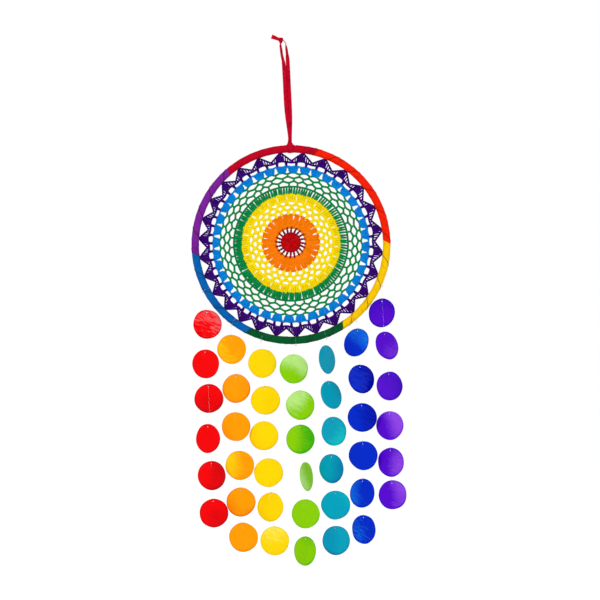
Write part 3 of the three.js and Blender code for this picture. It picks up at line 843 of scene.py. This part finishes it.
def through(places_on_route, counts):
    """A smooth spline: in each span the cubic that leaves and arrives along the line between
    the neighbouring places. Counts gives the steps in each span."""
    held = np.concatenate([places_on_route[:1], places_on_route, places_on_route[-1:]])
    span = np.repeat(np.arange(len(counts)), counts)
    t = np.concatenate([np.arange(n) / n for n in counts])[:, None]
    a, b, c, d = (held[span + k] for k in range(4))
    square, cube = 2 * a - 5 * b + 4 * c - d, 3 * b - a - 3 * c + d
    curve = 2 * b + (c - a) * t + square * t**2 + cube * t**3
    return np.concatenate([curve / 2, places_on_route[-1:]])


def strips(path, half_width, half_thick, facing, sides=14, loop=False):
    """The surface of a flat rounded section: half width times the squared-off cosine along
    side, half thickness times the sine along over, with the middle cupped a little forward."""
    side, over = axes_along(path, facing, loop)
    cosine, sine_part = squared_off(FULL_TURN * loop_steps(sides)[:, None], STRIP_POWER)
    half = np.broadcast_to(half_width, path.shape[:-1])[..., None, None]
    thick = half_thick * sine_part + STRIP_CUP * half * (0.5 - cosine**2)
    rings = path[..., None, :] + half * cosine * side[..., None, :] + thick * over[..., None, :]
    return surface(rings, loop)


print("strip helper ready")

# %% [markdown]
# Ribbon cloth is a close ribbed weave. Its finish draws the ribs from the length run along the
# strip and lets the colour drift a little, as worn cotton does.

# %% Ribbon cloth
def cloth_finish(name, colour, dark, rib):
    """Ribs are a sine of the length along the strip. Noise moves the shade between a dark
    and a light tone of the colour."""
    finish = new_finish(name, 0.85, Specular_IOR_Level=0.06, Sheen_Weight=0.015)
    ribs = sine(finish, on_chart(finish, "X"), 1 / rib)
    shade = calc(finish, "MULTIPLY_ADD", ribs, 0.08, noise(finish, 260.0, 4.0))
    full = paint(*colour)
    stops = (0.25, paint(*dark)), (0.5, full), (0.75, shade_of(full, 1.12))
    colour_by(finish, shade, *stops)
    emboss(finish, ribs, 0.35, 0.1 * MM)
    return finish


ribbon_cloth = cloth_finish("ribbon cloth", (196, 0, 36), (140, 0, 28), 0.7 * MM)
print(ribbon_cloth.name)

# %% The ribbon loop
RIBBON_HALF = 2.2 * MM
RIBBON_THIN = 0.4 * MM
SIDELONG = np.array([0.7, -0.7, 0.0])
CRESTING = np.array([0.7, 0.0, 0.7])
MIRROR = np.array([-1.0, 1.0, 1.0])
ribbon_stations = (
    ((0.25, -0.9, -107.5), FRONT, 0.8),
    ((0.1, -0.9, -101.0), FRONT, 0.85),
    ((-0.5, -0.8, -92.0), FRONT, 0.95),
    ((-1.4, -0.6, -81.0), FRONT, 1.0),
    ((-2.1, -0.4, -68.0), FRONT, 1.0),
    ((-2.15, -0.4, -45.0), FRONT, 1.0),
    ((-2.2, -0.3, -25.0), FRONT, 1.0),
    ((-2.9, -0.1, -18.0), SIDELONG * MIRROR, 1.0),
    ((-4.0, 0.0, -12.0), SIDELONG * MIRROR, 0.9),
    ((-4.4, 0.0, -6.5), SIDELONG * MIRROR, 0.9),
    ((-4.9, 0.0, -1.5), SIDELONG * MIRROR, 0.75),
    ((-4.7, 0.0, 2.2), -ACROSS, 0.65),
    ((-2.9, 0.0, 4.4), CRESTING * MIRROR, 0.6),
    ((-0.5, 0.0, 3.4), CRESTING, 0.6),
    ((0.9, 0.0, 0.6), ACROSS, 0.65),
    ((1.5, 0.0, -4.5), SIDELONG, 0.8),
    ((2.0, 0.1, -11.0), SIDELONG, 0.95),
    ((2.2, 0.3, -19.0), FRONT, 1.0),
    ((2.15, 0.4, -45.0), FRONT, 1.0),
    ((2.1, 0.5, -68.0), FRONT, 1.0),
    ((1.9, 0.6, -81.0), FRONT, 1.0),
    ((1.3, 0.7, -92.0), FRONT, 0.95),
    ((0.75, 0.8, -101.0), FRONT, 0.85),
    ((0.6, 0.8, -107.5), FRONT, 0.8),
)
places_on_ribbon, facings, shares = (np.array(column) for column in zip(*ribbon_stations))
ribbon_path = through(places_on_ribbon * MM, [2] * (len(ribbon_stations) - 1))
spots = np.linspace(0, len(ribbon_stations) - 1, len(ribbon_path))
stations = np.arange(len(ribbon_stations))
facing = np.stack([np.interp(spots, stations, facings[:, k]) for k in range(3)], axis=-1)
half = RIBBON_HALF * np.interp(spots, stations, shares)
ribbon_strip = strips(ribbon_path[None], half, RIBBON_THIN, facing)
ribbon = piece("ribbon", [ribbon_strip], ribbon_cloth, None, ["ribbon_loop"])
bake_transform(ribbon)

# %% [markdown]
# The two ends are tied in an overhand knot beside the arch, and one tail sticks out to the left.
# An overhand knot with its ends joined is the trefoil knot of mathematics, which has a neat
# formula, so the knot is a flattened tube along a trefoil.

# %% Knot and tail
KNOT_PLACE = np.array([-4.4, 0.0, 4.7]) * MM
TREFOIL = 0.9 * MM
TREFOIL_HALF = 1.15 * MM
TREFOIL_THICK = 0.7 * MM
TAIL_HALF = np.array([1.5, 2.0, 2.5]) * MM
angle = FULL_TURN * loop_steps(60)
trefoil = TREFOIL * np.stack(
    [
        0.75 * (np.sin(angle) + 2 * np.sin(2 * angle)),
        -1.1 * np.sin(3 * angle),
        np.cos(angle) - 2 * np.cos(2 * angle),
    ],
    axis=-1,
)
knot_path = (KNOT_PLACE + trefoil)[None]
knot = strips(knot_path, TREFOIL_HALF, TREFOIL_THICK, FRONT, 10, loop=True)
tail_places = MM * np.array(
    [(-5.5, -0.4, 5.4), (-8.0, -0.6, 6.4), (-11.0, -0.5, 7.9), (-14.2, -0.3, 9.2)]
)
tail_path = through(tail_places, [4, 4, 4])
tail_half = np.interp(np.linspace(0, 1, len(tail_path)), [0, 0.5, 1], TAIL_HALF)
tail = strips(tail_path[None], tail_half, RIBBON_THIN, FRONT)
piece("ribbon_knot", [knot, tail], ribbon_cloth, "ribbon", ["ribbon_loop"])

# %% [markdown]
# Below, the ribbon is hitched on the ring: a band round the tape and, above it, the gathered
# ribbon rising to the legs. The band is a strip along a circle round the tape. The gathers
# are a cone whose outline is folded by a cosine that turns on the way up.

# %% Hitch on the ring
HITCH_REACH = TAPE_R + 0.2 * MM
BAND_HALF = 3.0 * MM
BAND_THICK = 0.25 * MM
NECK_LOW = hitch_place + 1.6 * MM * UP
NECK_TOP = hitch_place + 10.5 * MM * UP
LEGS_HALF = 2.0 * MM
LEGS_DEEP = 1.4 * MM
FLARE_HALF = 6.4 * MM
FLARE_DEEP = 3.0 * MM
NECK_FOLDS = 6
FOLD_DEPTH = 0.05
FOLD_TURN = 2.5
band_path = round_tape(HITCH_CLOCK, 360 * loop_steps(36), HITCH_REACH)
band_out = unit(band_path - hitch_place)
band = strips(band_path[None], BAND_HALF, BAND_THICK, band_out, loop=True)


def gathered_neck(steps=14, around=40):
    """Half width and half depth shrink from ring to legs by a bent ramp. The outline is
    multiplied by 1 + FOLD_DEPTH cosine of six times the angle, turned on the way up."""
    u = np.linspace(0, 1, steps)[:, None]
    angle = FULL_TURN * loop_steps(around)
    bend = (1 - u) ** 3
    fold = 1 + FOLD_DEPTH * np.cos(NECK_FOLDS * angle + FOLD_TURN * u)
    wide = (LEGS_HALF + FLARE_HALF * bend) * fold * np.cos(angle)
    deep = (LEGS_DEEP + FLARE_DEEP * bend) * fold * np.sin(angle)
    middle = NECK_LOW + u[..., None] * (NECK_TOP - NECK_LOW)
    return middle + wide[..., None] * ACROSS + deep[..., None] * -FRONT


neck = surface(gathered_neck()[None])
piece("ribbon_band", [band, neck], ribbon_cloth, "hitch", ["ribbon_hitch"])

# %% [markdown]
# The ring is wound with cotton tape in six colours. Each turn laps over the one before, which
# shows as slanted lines. A painted stripe would look flat, so the tape is really wound: a
# thin closed section carried round a helix, its leading edge raised by the turn below it.
# The joint between two colours lies at the back, so the front shows a slanted seam.

# %% Tape finish
WARP_PITCH = 0.6 * MM
WEFT_COUNT = 48


def tape_finish(name, colour):
    """Fine weave both ways, cloudy shade, and painted shade along the lapping edge, where each
    turn steps over the one below.
    """
    finish = new_finish(name, 0.82, Specular_IOR_Level=0.06, Sheen_Weight=0.015)
    warp = sine(finish, on_chart(finish, "X"), 1 / WARP_PITCH)
    weft = sine(finish, on_chart(finish, "Y"), WEFT_COUNT)
    weave = calc(finish, "MULTIPLY", warp, weft)
    shade = calc(finish, "MULTIPLY_ADD", weave, 0.06, noise(finish, 180.0, 5.0))
    # The tint here is painted shade, darkest at the lapping edge where each turn steps over the
    # one below.
    shade = calc(finish, "MULTIPLY_ADD", stored(finish, "tint"), -0.14, shade)
    full = paint(*colour)
    stops = (0.12, shade_of(full, 0.38)), (0.42, full), (0.75, shade_of(full, 1.1))
    colour_by(finish, shade, *stops)
    emboss(finish, weave, 0.3, 0.08 * MM)
    return finish


print("tape finish ready")

# %% Winding the tape
WRAPS = {
    "crimson": (322.4, (190, 0, 32)),
    "orange": (18.4, (244, 32, 0)),
    "yellow": (91.4, (250, 198, 0)),
    "green": (150.0, (0, 86, 42)),
    "blue": (209.2, (0, 96, 174)),
    "purple": (267.0, (122, 32, 150)),
}
LAP_PITCH = 13.5 * MM
LAP_OVER = 3.0 * MM
LAP_RISE = 0.2 * MM
TAPE_THICK = 0.3 * MM
# Width of the painted shade along the lapping edge.
LAP_SHADE_WIDTH = 0.8 * MM
TURN_STEPS = 26
END_OVER = 0.04
TAPE_POINTS = 10


def wound_tape(start, end):
    """The helix goes a whole number of turns from start to end, over the front from inside to
    outside. Along the ring a point is at pitch times turns plus its place across the tape.
    The outer face falls from the raised leading edge to the ring by a smooth step."""
    sweep = (end - start) % 360
    pitch = np.radians(sweep) * RING_R
    turns = round(pitch / LAP_PITCH)
    pitch = pitch / turns
    helix = np.linspace(-0.5, turns - 0.5 + END_OVER, turns * TURN_STEPS + 1)[:, None]
    width = pitch + LAP_OVER
    across = width * np.linspace(0, 1, TAPE_POINTS) ** 1.5
    fall = eased(np.clip(across / (1.5 * LAP_OVER), 0, 1))
    outer = TAPE_R + LAP_RISE * (1 - fall)
    across = np.concatenate([across, across[::-1]])
    reach = np.concatenate([outer, outer[::-1] - TAPE_THICK])
    clock = start + np.degrees((pitch * helix + across) / RING_R)
    made = surface(round_tape(clock, 90 - 360 * helix, reach)[None])
    # Painted shade along the lapping edge, where the turn steps over the one below.
    made["tint"] = np.tile(np.exp(-((across / LAP_SHADE_WIDTH) ** 2)), len(helix))
    return made


starts = [start for start, colour in WRAPS.values()]
for (name, (start, colour)), end in zip(WRAPS.items(), starts[1:] + starts[:1]):
    finish = tape_finish(f"{name} tape", colour)
    tape = wound_tape(start, end)
    piece(f"{name}_winding", [tape], finish, "hoop", [f"{name}_wrap"])

# %% [markdown]
# The web is crochet, worked in rounds from the middle. Every stitch is a short post of two
# twisted plies, every round ends in a plaited edge, and the open rounds are nets of wavy
# chains. Each round is one calculation over all its stitches. The web rises slightly towards
# its middle, because the lower half is stretched more by its own weight. Sizes in the web are
# in millimetres.

# %% Yarn finish
TWISTS_IN_METRE = 700.0


def yarn_finish(name, colour, bright=1.0, dark=0.74):
    """The plies show as a sine along the tube and round it. Each tube has its own shade, and
    fine noise stands for the fuzz of cotton. Dark is the share of light left in the folds.
    Bright lifts the colour above the yarn's own: painted light that makes up for the shade
    falling between the stitches."""
    finish = new_finish(name, 0.9, Specular_IOR_Level=0.05, Sheen_Weight=0.015)
    along, around = on_chart(finish, "X"), on_chart(finish, "Y")
    twist = sine(finish, calc(finish, "MULTIPLY_ADD", along, TWISTS_IN_METRE, around), 1.0)
    shade = calc(finish, "MULTIPLY_ADD", stored(finish, "tint"), 0.35, 0.12)
    shade = calc(finish, "MULTIPLY_ADD", twist, 0.1, shade)
    shade = calc(finish, "MULTIPLY_ADD", noise(finish, 1400.0, 3.0), 0.4, shade)
    full = paint(*colour, bright)
    stops = (0.1, shade_of(full, dark)), (0.5, full), (0.9, shade_of(full, 1.18, 0.015))
    colour_by(finish, shade, *stops)
    emboss(finish, twist, 0.4, 0.12 * MM)
    return finish


print("yarn finish ready")

# %% Stitches
WEB_RISE = 2.8
TIP_R = 99.8
POST_STEPS = 6
YARN_SIDES = 5
PLY_APART = 0.21
PLY_R = 0.29
EDGE_STEPS = 5
EDGE_DEPTH = 0.45


def on_web(radius, clock, lift=0.0):
    """A point of the web: on the clock face, raised by WEB_RISE (1 - radius / tip radius),
    and lift towards the front."""
    radius, clock, lift = np.broadcast_arrays(radius, clock, lift)
    rise = WEB_RISE * (1 - radius / TIP_R)
    off = on_clock(radius, clock) + rise[..., None] * UP + lift[..., None] * FRONT
    return ring_centre + off * MM


def clocks(count, start=0.0, uneven=0.0):
    """Even clock angles round the web, each moved by a random share of a step."""
    return start + 360 / count * (np.arange(count) + uneven * rng.normal(0, 1, count))


def fan(middles, per, *shares):
    """For each share, the clock angles of per posts in every group, spread evenly over that
    share of the step from group to group."""
    offset = (np.arange(per) - (per - 1) / 2) / per * 360 / len(middles)
    return [(middles[:, None] + share * offset).ravel() for share in shares]


def posts(inner_r, outer_r, inner, outer, width, bulge=0.35, twist=1.1, back=0.0):
    """Two plies twisted round a straight line between two clock angles, bulging forward in the
    middle, or set back behind the round. Sizes are numbers or one for each post."""
    u = np.linspace(0, 1, POST_STEPS)
    sizes = inner_r, outer_r, width
    start, end, wide = (np.broadcast_to(size, np.shape(inner))[:, None] for size in sizes)
    clock = inner[:, None] * (1 - u) + outer[:, None] * u
    lift = bulge * np.sin(np.pi * u) - back
    paths = on_web(start * (1 - u) + end * u, clock, lift)
    thick = MM * wide * (0.85 + 0.15 * np.sin(np.pi * u))
    strands = plies(paths, PLY_APART * thick, twist)
    return tubes(strands, PLY_R * np.tile(thick, (2, 1)), YARN_SIDES)


def chain(path, waves, half_width, half_depth, thick):
    """Three plaited strands along a closed path, one wave for each stitch."""
    strands = plaits(path, half_width * MM, half_depth * MM, waves)
    return tubes(strands, thick * MM, YARN_SIDES, loop=True)


def edge(radius, waves, half_width, thick, crests=(0.0,), swing=0.0):
    """A plaited chain round the web. Its radius goes up and down by swing times the cosine of
    a full turn from each crest to the next."""
    clock = crests[0] + 360 * loop_steps(waves * EDGE_STEPS)
    turn = np.interp(clock, [*crests, crests[0] + 360], np.arange(len(crests) + 1))
    path = on_web(radius + swing * np.cos(FULL_TURN * turn), clock)[None]
    return chain(path, waves, half_width, EDGE_DEPTH * thick, thick)


def net(radii, crests, swing, waves, half_width, thick, post_width):
    """Wavy chains, each half a step on from the last. A post joins each crest of a chain to
    the trough above it. The first chain is the flat edge of the round below."""
    step = 360 / len(crests)
    made = []
    for row, (low, high) in enumerate(zip(radii, radii[1:])):
        feet = crests + row * step / 2
        made.append(posts(low + (row > 0) * swing, high - swing, feet, feet, post_width))
        made.append(edge(high, waves, half_width, thick, feet + step / 2, swing))
    return made


def web_piece(name, surfaces, finish):
    """A round of the web, riding the ring and standing for the web's solid."""
    return piece(name, surfaces, finish, "hoop", ["crochet_web"])


print("stitch helpers ready")

# %% [markdown]
# The middle is a solid red disc of two rounds with a ring of spokes round it. The spokes run
# over the first orange round and end in dark pointed tips.

# %% Red middle and spokes
BACKING = 0.7
RED_INNER = 12
RED_OUTER = 26
SPOKE_COUNT = 20
# The last number of each yarn's colour lifts it as painted light, against the shade between the
# stitches.
red_yarn = yarn_finish("red yarn", (192, 0, 10), 1.05)
maroon_yarn = yarn_finish("maroon yarn", (128, 0, 30))
inner = clocks(RED_INNER, 5.0)
outer = clocks(RED_OUTER, 2.0, 0.05)
half_on = outer + 180 / RED_OUTER
spokes = clocks(SPOKE_COUNT, 3.0, 0.04)
red_rounds = [
    posts(0.3, 5.3, inner, inner + 8, 3.0),
    edge(5.0, RED_INNER, 0.9, 0.6),
    posts(4.6, 10.2, outer, outer + 4, 2.9),
    posts(3.0, 10.6, half_on, half_on + 4, 2.9, back=BACKING),
    edge(10.2, RED_OUTER, 0.9, 0.55),
]
web_piece("red_middle", red_rounds, red_yarn)
spoke_tips = 18.2 + rng.normal(0, 0.6, SPOKE_COUNT)
spoke_work = [
    posts(9.8, 16.4, spokes, spokes + 3, 2.9),
    posts(13.0, spoke_tips, spokes + 1.5, spokes + 4, 2.1, 1.2),
]
web_piece("maroon_spokes", spoke_work, maroon_yarn)

# %% [markdown]
# Two dense orange rounds follow. The inner one is closed work, the outer one is grouped in
# threes, with narrow slits between the groups. Dense work is two layers deep: a second row of
# posts, half a step on and a little behind, closes the chinks of the first.

# %% Orange rounds
CLOSE_COUNT = 60
THREES_COUNT = 29
orange_yarn = yarn_finish("orange yarn", (255, 128, 0), 1.08)
tight = clocks(CLOSE_COUNT, 0.0, 0.06)
threes = clocks(THREES_COUNT, 4.0, 0.08)
orange_rounds = [
    posts(16.2, 24.8, tight, tight + 2, 3.2),
    posts(16.4, 25.4, tight + 3, tight + 5, 3.2, back=BACKING),
    edge(16.4, 40, 0.9, 0.5),
    edge(24.6, CLOSE_COUNT, 0.9, 0.6),
    posts(24.2, 31.2, *fan(threes, 3, 0.94, 0.9), 2.5, twist=0.2),
    posts(24.2, 31.2, *fan(threes, 2, 0.95, 0.85), 2.7, back=BACKING),
    edge(31.2, 2 * THREES_COUNT, 1.0, 0.55),
]
web_piece("orange_rounds", orange_rounds, orange_yarn)

# %% [markdown]
# The yellow part starts as a chunky net of three rows of holes, and closes in a dense band of
# groups of five posts. A net is made of wavy chains: where one chain has a crest the next has
# a trough, and a short post ties the two together.

# %% Yellow net and band
YELLOW_COUNT = 29
YELLOW_START = 4.0
YELLOW_RADII = (31.4, 37.0, 42.0, 46.8)
yellow_yarn = yarn_finish("yellow yarn", (255, 216, 0), 1.12, 0.88)
yellow_feet = clocks(YELLOW_COUNT, YELLOW_START + 180 / YELLOW_COUNT, 0.05)
yellow_net = net(YELLOW_RADII, yellow_feet, 1.1, 4 * YELLOW_COUNT, 0.9, 0.95, 4.7)
fives = clocks(YELLOW_COUNT, YELLOW_START, 0.015)
yellow_band = [
    posts(46.0, 54.8, *fan(fives, 5, 0.88, 1.02), 3.0, twist=0.5),
    posts(45.6, 55.4, *fan(fives, 4, 0.8, 1.0), 3.1, twist=0.0, back=BACKING),
    edge(54.6, 4 * YELLOW_COUNT, 1.0, 0.6),
]
web_piece("yellow_net", yellow_net, yellow_yarn)
web_piece("yellow_band", yellow_band, yellow_yarn)

# %% [markdown]
# Green starts with a ring of tall posts, whose feet reach down over the yellow edge. They
# stand close at the lower left and let light through at the upper right. A finer net follows,
# with forty holes in each of its three rows.

# %% Green posts and net
GREEN_COUNT = 40
GREEN_RADII = (63.2, 68.3, 73.4, 78.4)
TALL_COUNT = 130
green_yarn = yarn_finish("green yarn", (0, 136, 70), 1.08)
tall = clocks(TALL_COUNT, 0.5, 0.1)
feet = 54.2 + rng.normal(0, 0.5, TALL_COUNT)
snug = 3.3 + 0.6 * np.cos(np.radians(tall - 235))
green_posts = [
    posts(feet, 63.2, tall, tall + 0.6, snug, 0.5, twist=0.2),
    edge(63.0, 3 * GREEN_COUNT, 0.8, 0.55),
]
green_feet = clocks(GREEN_COUNT, 0.0, 0.06)
green_net = net(GREEN_RADII, green_feet, 0.9, 4 * GREEN_COUNT, 0.66, 0.72, 2.8)
web_piece("green_posts", green_posts, green_yarn)
web_piece("green_net", green_net, green_yarn)

# %% [markdown]
# Forty blue fans stand on the green net. Each fan has six posts that start close together
# and spread until they meet the next fan, which leaves small bright triangles between them.
# Their edge is drawn up where each leg of the border stands on it.

# %% Blue fans
blue_yarn = yarn_finish("blue yarn", (0, 135, 219), 1.06)
LEG_COUNT = 2 * POINT_COUNT
leg_feet = pulled(POINT_START + 360 / LEG_COUNT * (np.arange(LEG_COUNT) + 0.5))
fans = clocks(GREEN_COUNT, 180 / GREEN_COUNT, 0.04)
blue_fans = [
    posts(78.0, 86.0, *fan(fans, 6, 0.58, 1.05), 2.5),
    posts(78.2, 86.4, *fan(fans, 5, 0.54, 1.02), 2.4, back=BACKING),
    edge(86.0, 5 * POINT_COUNT, 0.7, 0.5, leg_feet, 0.45),
]
web_piece("blue_fans", blue_fans, blue_yarn)

# %% [markdown]
# The purple border stands on fifty-four forked legs, with round-topped holes between them. On
# the legs runs a wavy chain, and on the chain stand twenty-seven points, each a fan of posts
# bound by a zigzag chain. The posts are close in the core of a point and thinner on its
# flanks, where bright slits show between them, most of all in the upper half of the web.
# The blunt tips are where the lacing catches the web.

# %% Purple border
VALLEY_R = 92.4
POINT_RISE = 8.4
POINT_POSTS = 9
LEG_SPREAD = 0.9
CORE_WIDTH = 3.8
ZIGZAG_STEPS = 20
ZIGZAG_WAVES = 4
purple_yarn = yarn_finish("purple yarn", (55, 0, 111), 1.1)
legs = pulled(clocks(LEG_COUNT, POINT_START + POINT_STEP / 4, 0.03))
even_tips = clocks(POINT_COUNT, POINT_START)
tips = pulled(even_tips)


def zigzag_r(clock):
    """The border's outline: from the valley up to a blunt tip and down again in each step,
    with slightly hollow sides."""
    phase = np.abs((unpulled(clock) - POINT_START) / POINT_STEP % 1 - 0.5) * 2
    return VALLEY_R + POINT_RISE * np.clip(phase / 0.88, 0, 1) ** 1.1


inner, outer = (pulled(angles) for angles in fan(even_tips, POINT_POSTS, 1.0, 0.9))
closeness = np.array([0, 0, 0.5, 1, 1, 0.5, 0.1, 0, 0])
flanks = 1.7 - 0.2 * np.cos(np.radians(tips))[:, None]
post_widths = (flanks + closeness * (CORE_WIDTH - flanks)).ravel()
clock = 360 * loop_steps(POINT_COUNT * ZIGZAG_STEPS)
zigzag = on_web(zigzag_r(clock), clock)[None]
purple_border = [
    posts(85.8, 91.4, legs, legs - LEG_SPREAD, 2.0),
    posts(85.8, 91.4, legs, legs + LEG_SPREAD, 2.0),
    posts(85.8, 90.6, legs, legs, 2.6, back=BACKING),
    edge(91.3, 5 * POINT_COUNT, 0.8, 0.62, tips, 0.9),
    posts(91.2, zigzag_r(outer), inner, outer, post_widths, twist=0.2),
    chain(zigzag, POINT_COUNT * ZIGZAG_WAVES, 0.65, 0.25, 0.6),
]
web_piece("purple_border", purple_border, purple_yarn)

# %% [markdown]
# Dark purple yarn laces the web into the ring. It goes round the tape once for every point,
# through the tip and over the front to the next, as one long helix of two plies. It dips
# inwards to catch each tip and is pressed into the tape on the outside, where it pulls most.
# On the crimson tape, where it starts and ends, it lies deeper and hardly shows.

# %% Lacing
LACING_FROM = HITCH_CLOCK + 3.2
LACING_SWEEP = 353.6
LACING_REACH = TAPE_R + 0.3 * MM
LACING_DIP = 0.7 * MM
LACING_PRESS = 0.2 * MM
LACING_DEEP = 0.42 * MM
CRIMSON_MIDDLE = 350.4
CRIMSON_HALF = 27.0
LACING_STEPS = 26
LACING_TWISTS = 14
LACING_PLY_APART = 0.14 * MM
LACING_PLY_R = 0.2 * MM
lacing_yarn = yarn_finish("lacing yarn", (58, 2, 34))
lacing_ends = unpulled(LACING_FROM), unpulled(LACING_FROM + LACING_SWEEP)
clock = pulled(np.linspace(*lacing_ends, POINT_COUNT * LACING_STEPS + 1))
turn = lacing_turn(clock)
inside = np.clip(-np.cos(np.radians(turn)), 0, 1) ** 4
outside = np.clip(np.cos(np.radians(turn)), 0, 1) ** 2
from_middle = np.abs((clock - CRIMSON_MIDDLE + 180) % 360 - 180)
on_crimson = np.clip((CRIMSON_HALF - from_middle) / 2, 0, 1) * (1 - inside)
reach = LACING_REACH + LACING_DIP * inside - LACING_PRESS * outside - LACING_DEEP * on_crimson
lacing_path = round_tape(clock, turn, reach)
lacing_out = unit(lacing_path - ring_centre - on_clock(RING_R, clock))
twists = POINT_COUNT * LACING_TWISTS
strands = plies(lacing_path[None], LACING_PLY_APART, twists, lacing_out)
lacing = tubes(strands, LACING_PLY_R, YARN_SIDES, lacing_out)
piece("lacing", [lacing], lacing_yarn, "hoop", ["lacing_thread"])

# %% [markdown]
# Under the tape lies a plain steel ring. It keeps its solid and gets a drawn-steel finish,
# which would show only where the tape is lifted.

# %% Steel ring
def steel_finish():
    """Bare drawn steel: fine streaks in roughness and shade."""
    finish = new_finish("drawn steel", 0.4, Metallic=1.0)
    streaks = noise(finish, 420.0, 4.0)
    colour_by(finish, streaks, (0.3, paint(128, 128, 130)), (0.7, paint(176, 176, 178)))
    wire(finish, "Roughness", calc(finish, "MULTIPLY_ADD", streaks, 0.25, 0.28))
    return finish


core = frame["nodes"]["hoop_core"]
core.data.materials.clear()
core.data.materials.append(steel_finish())
print("steel ring dressed")
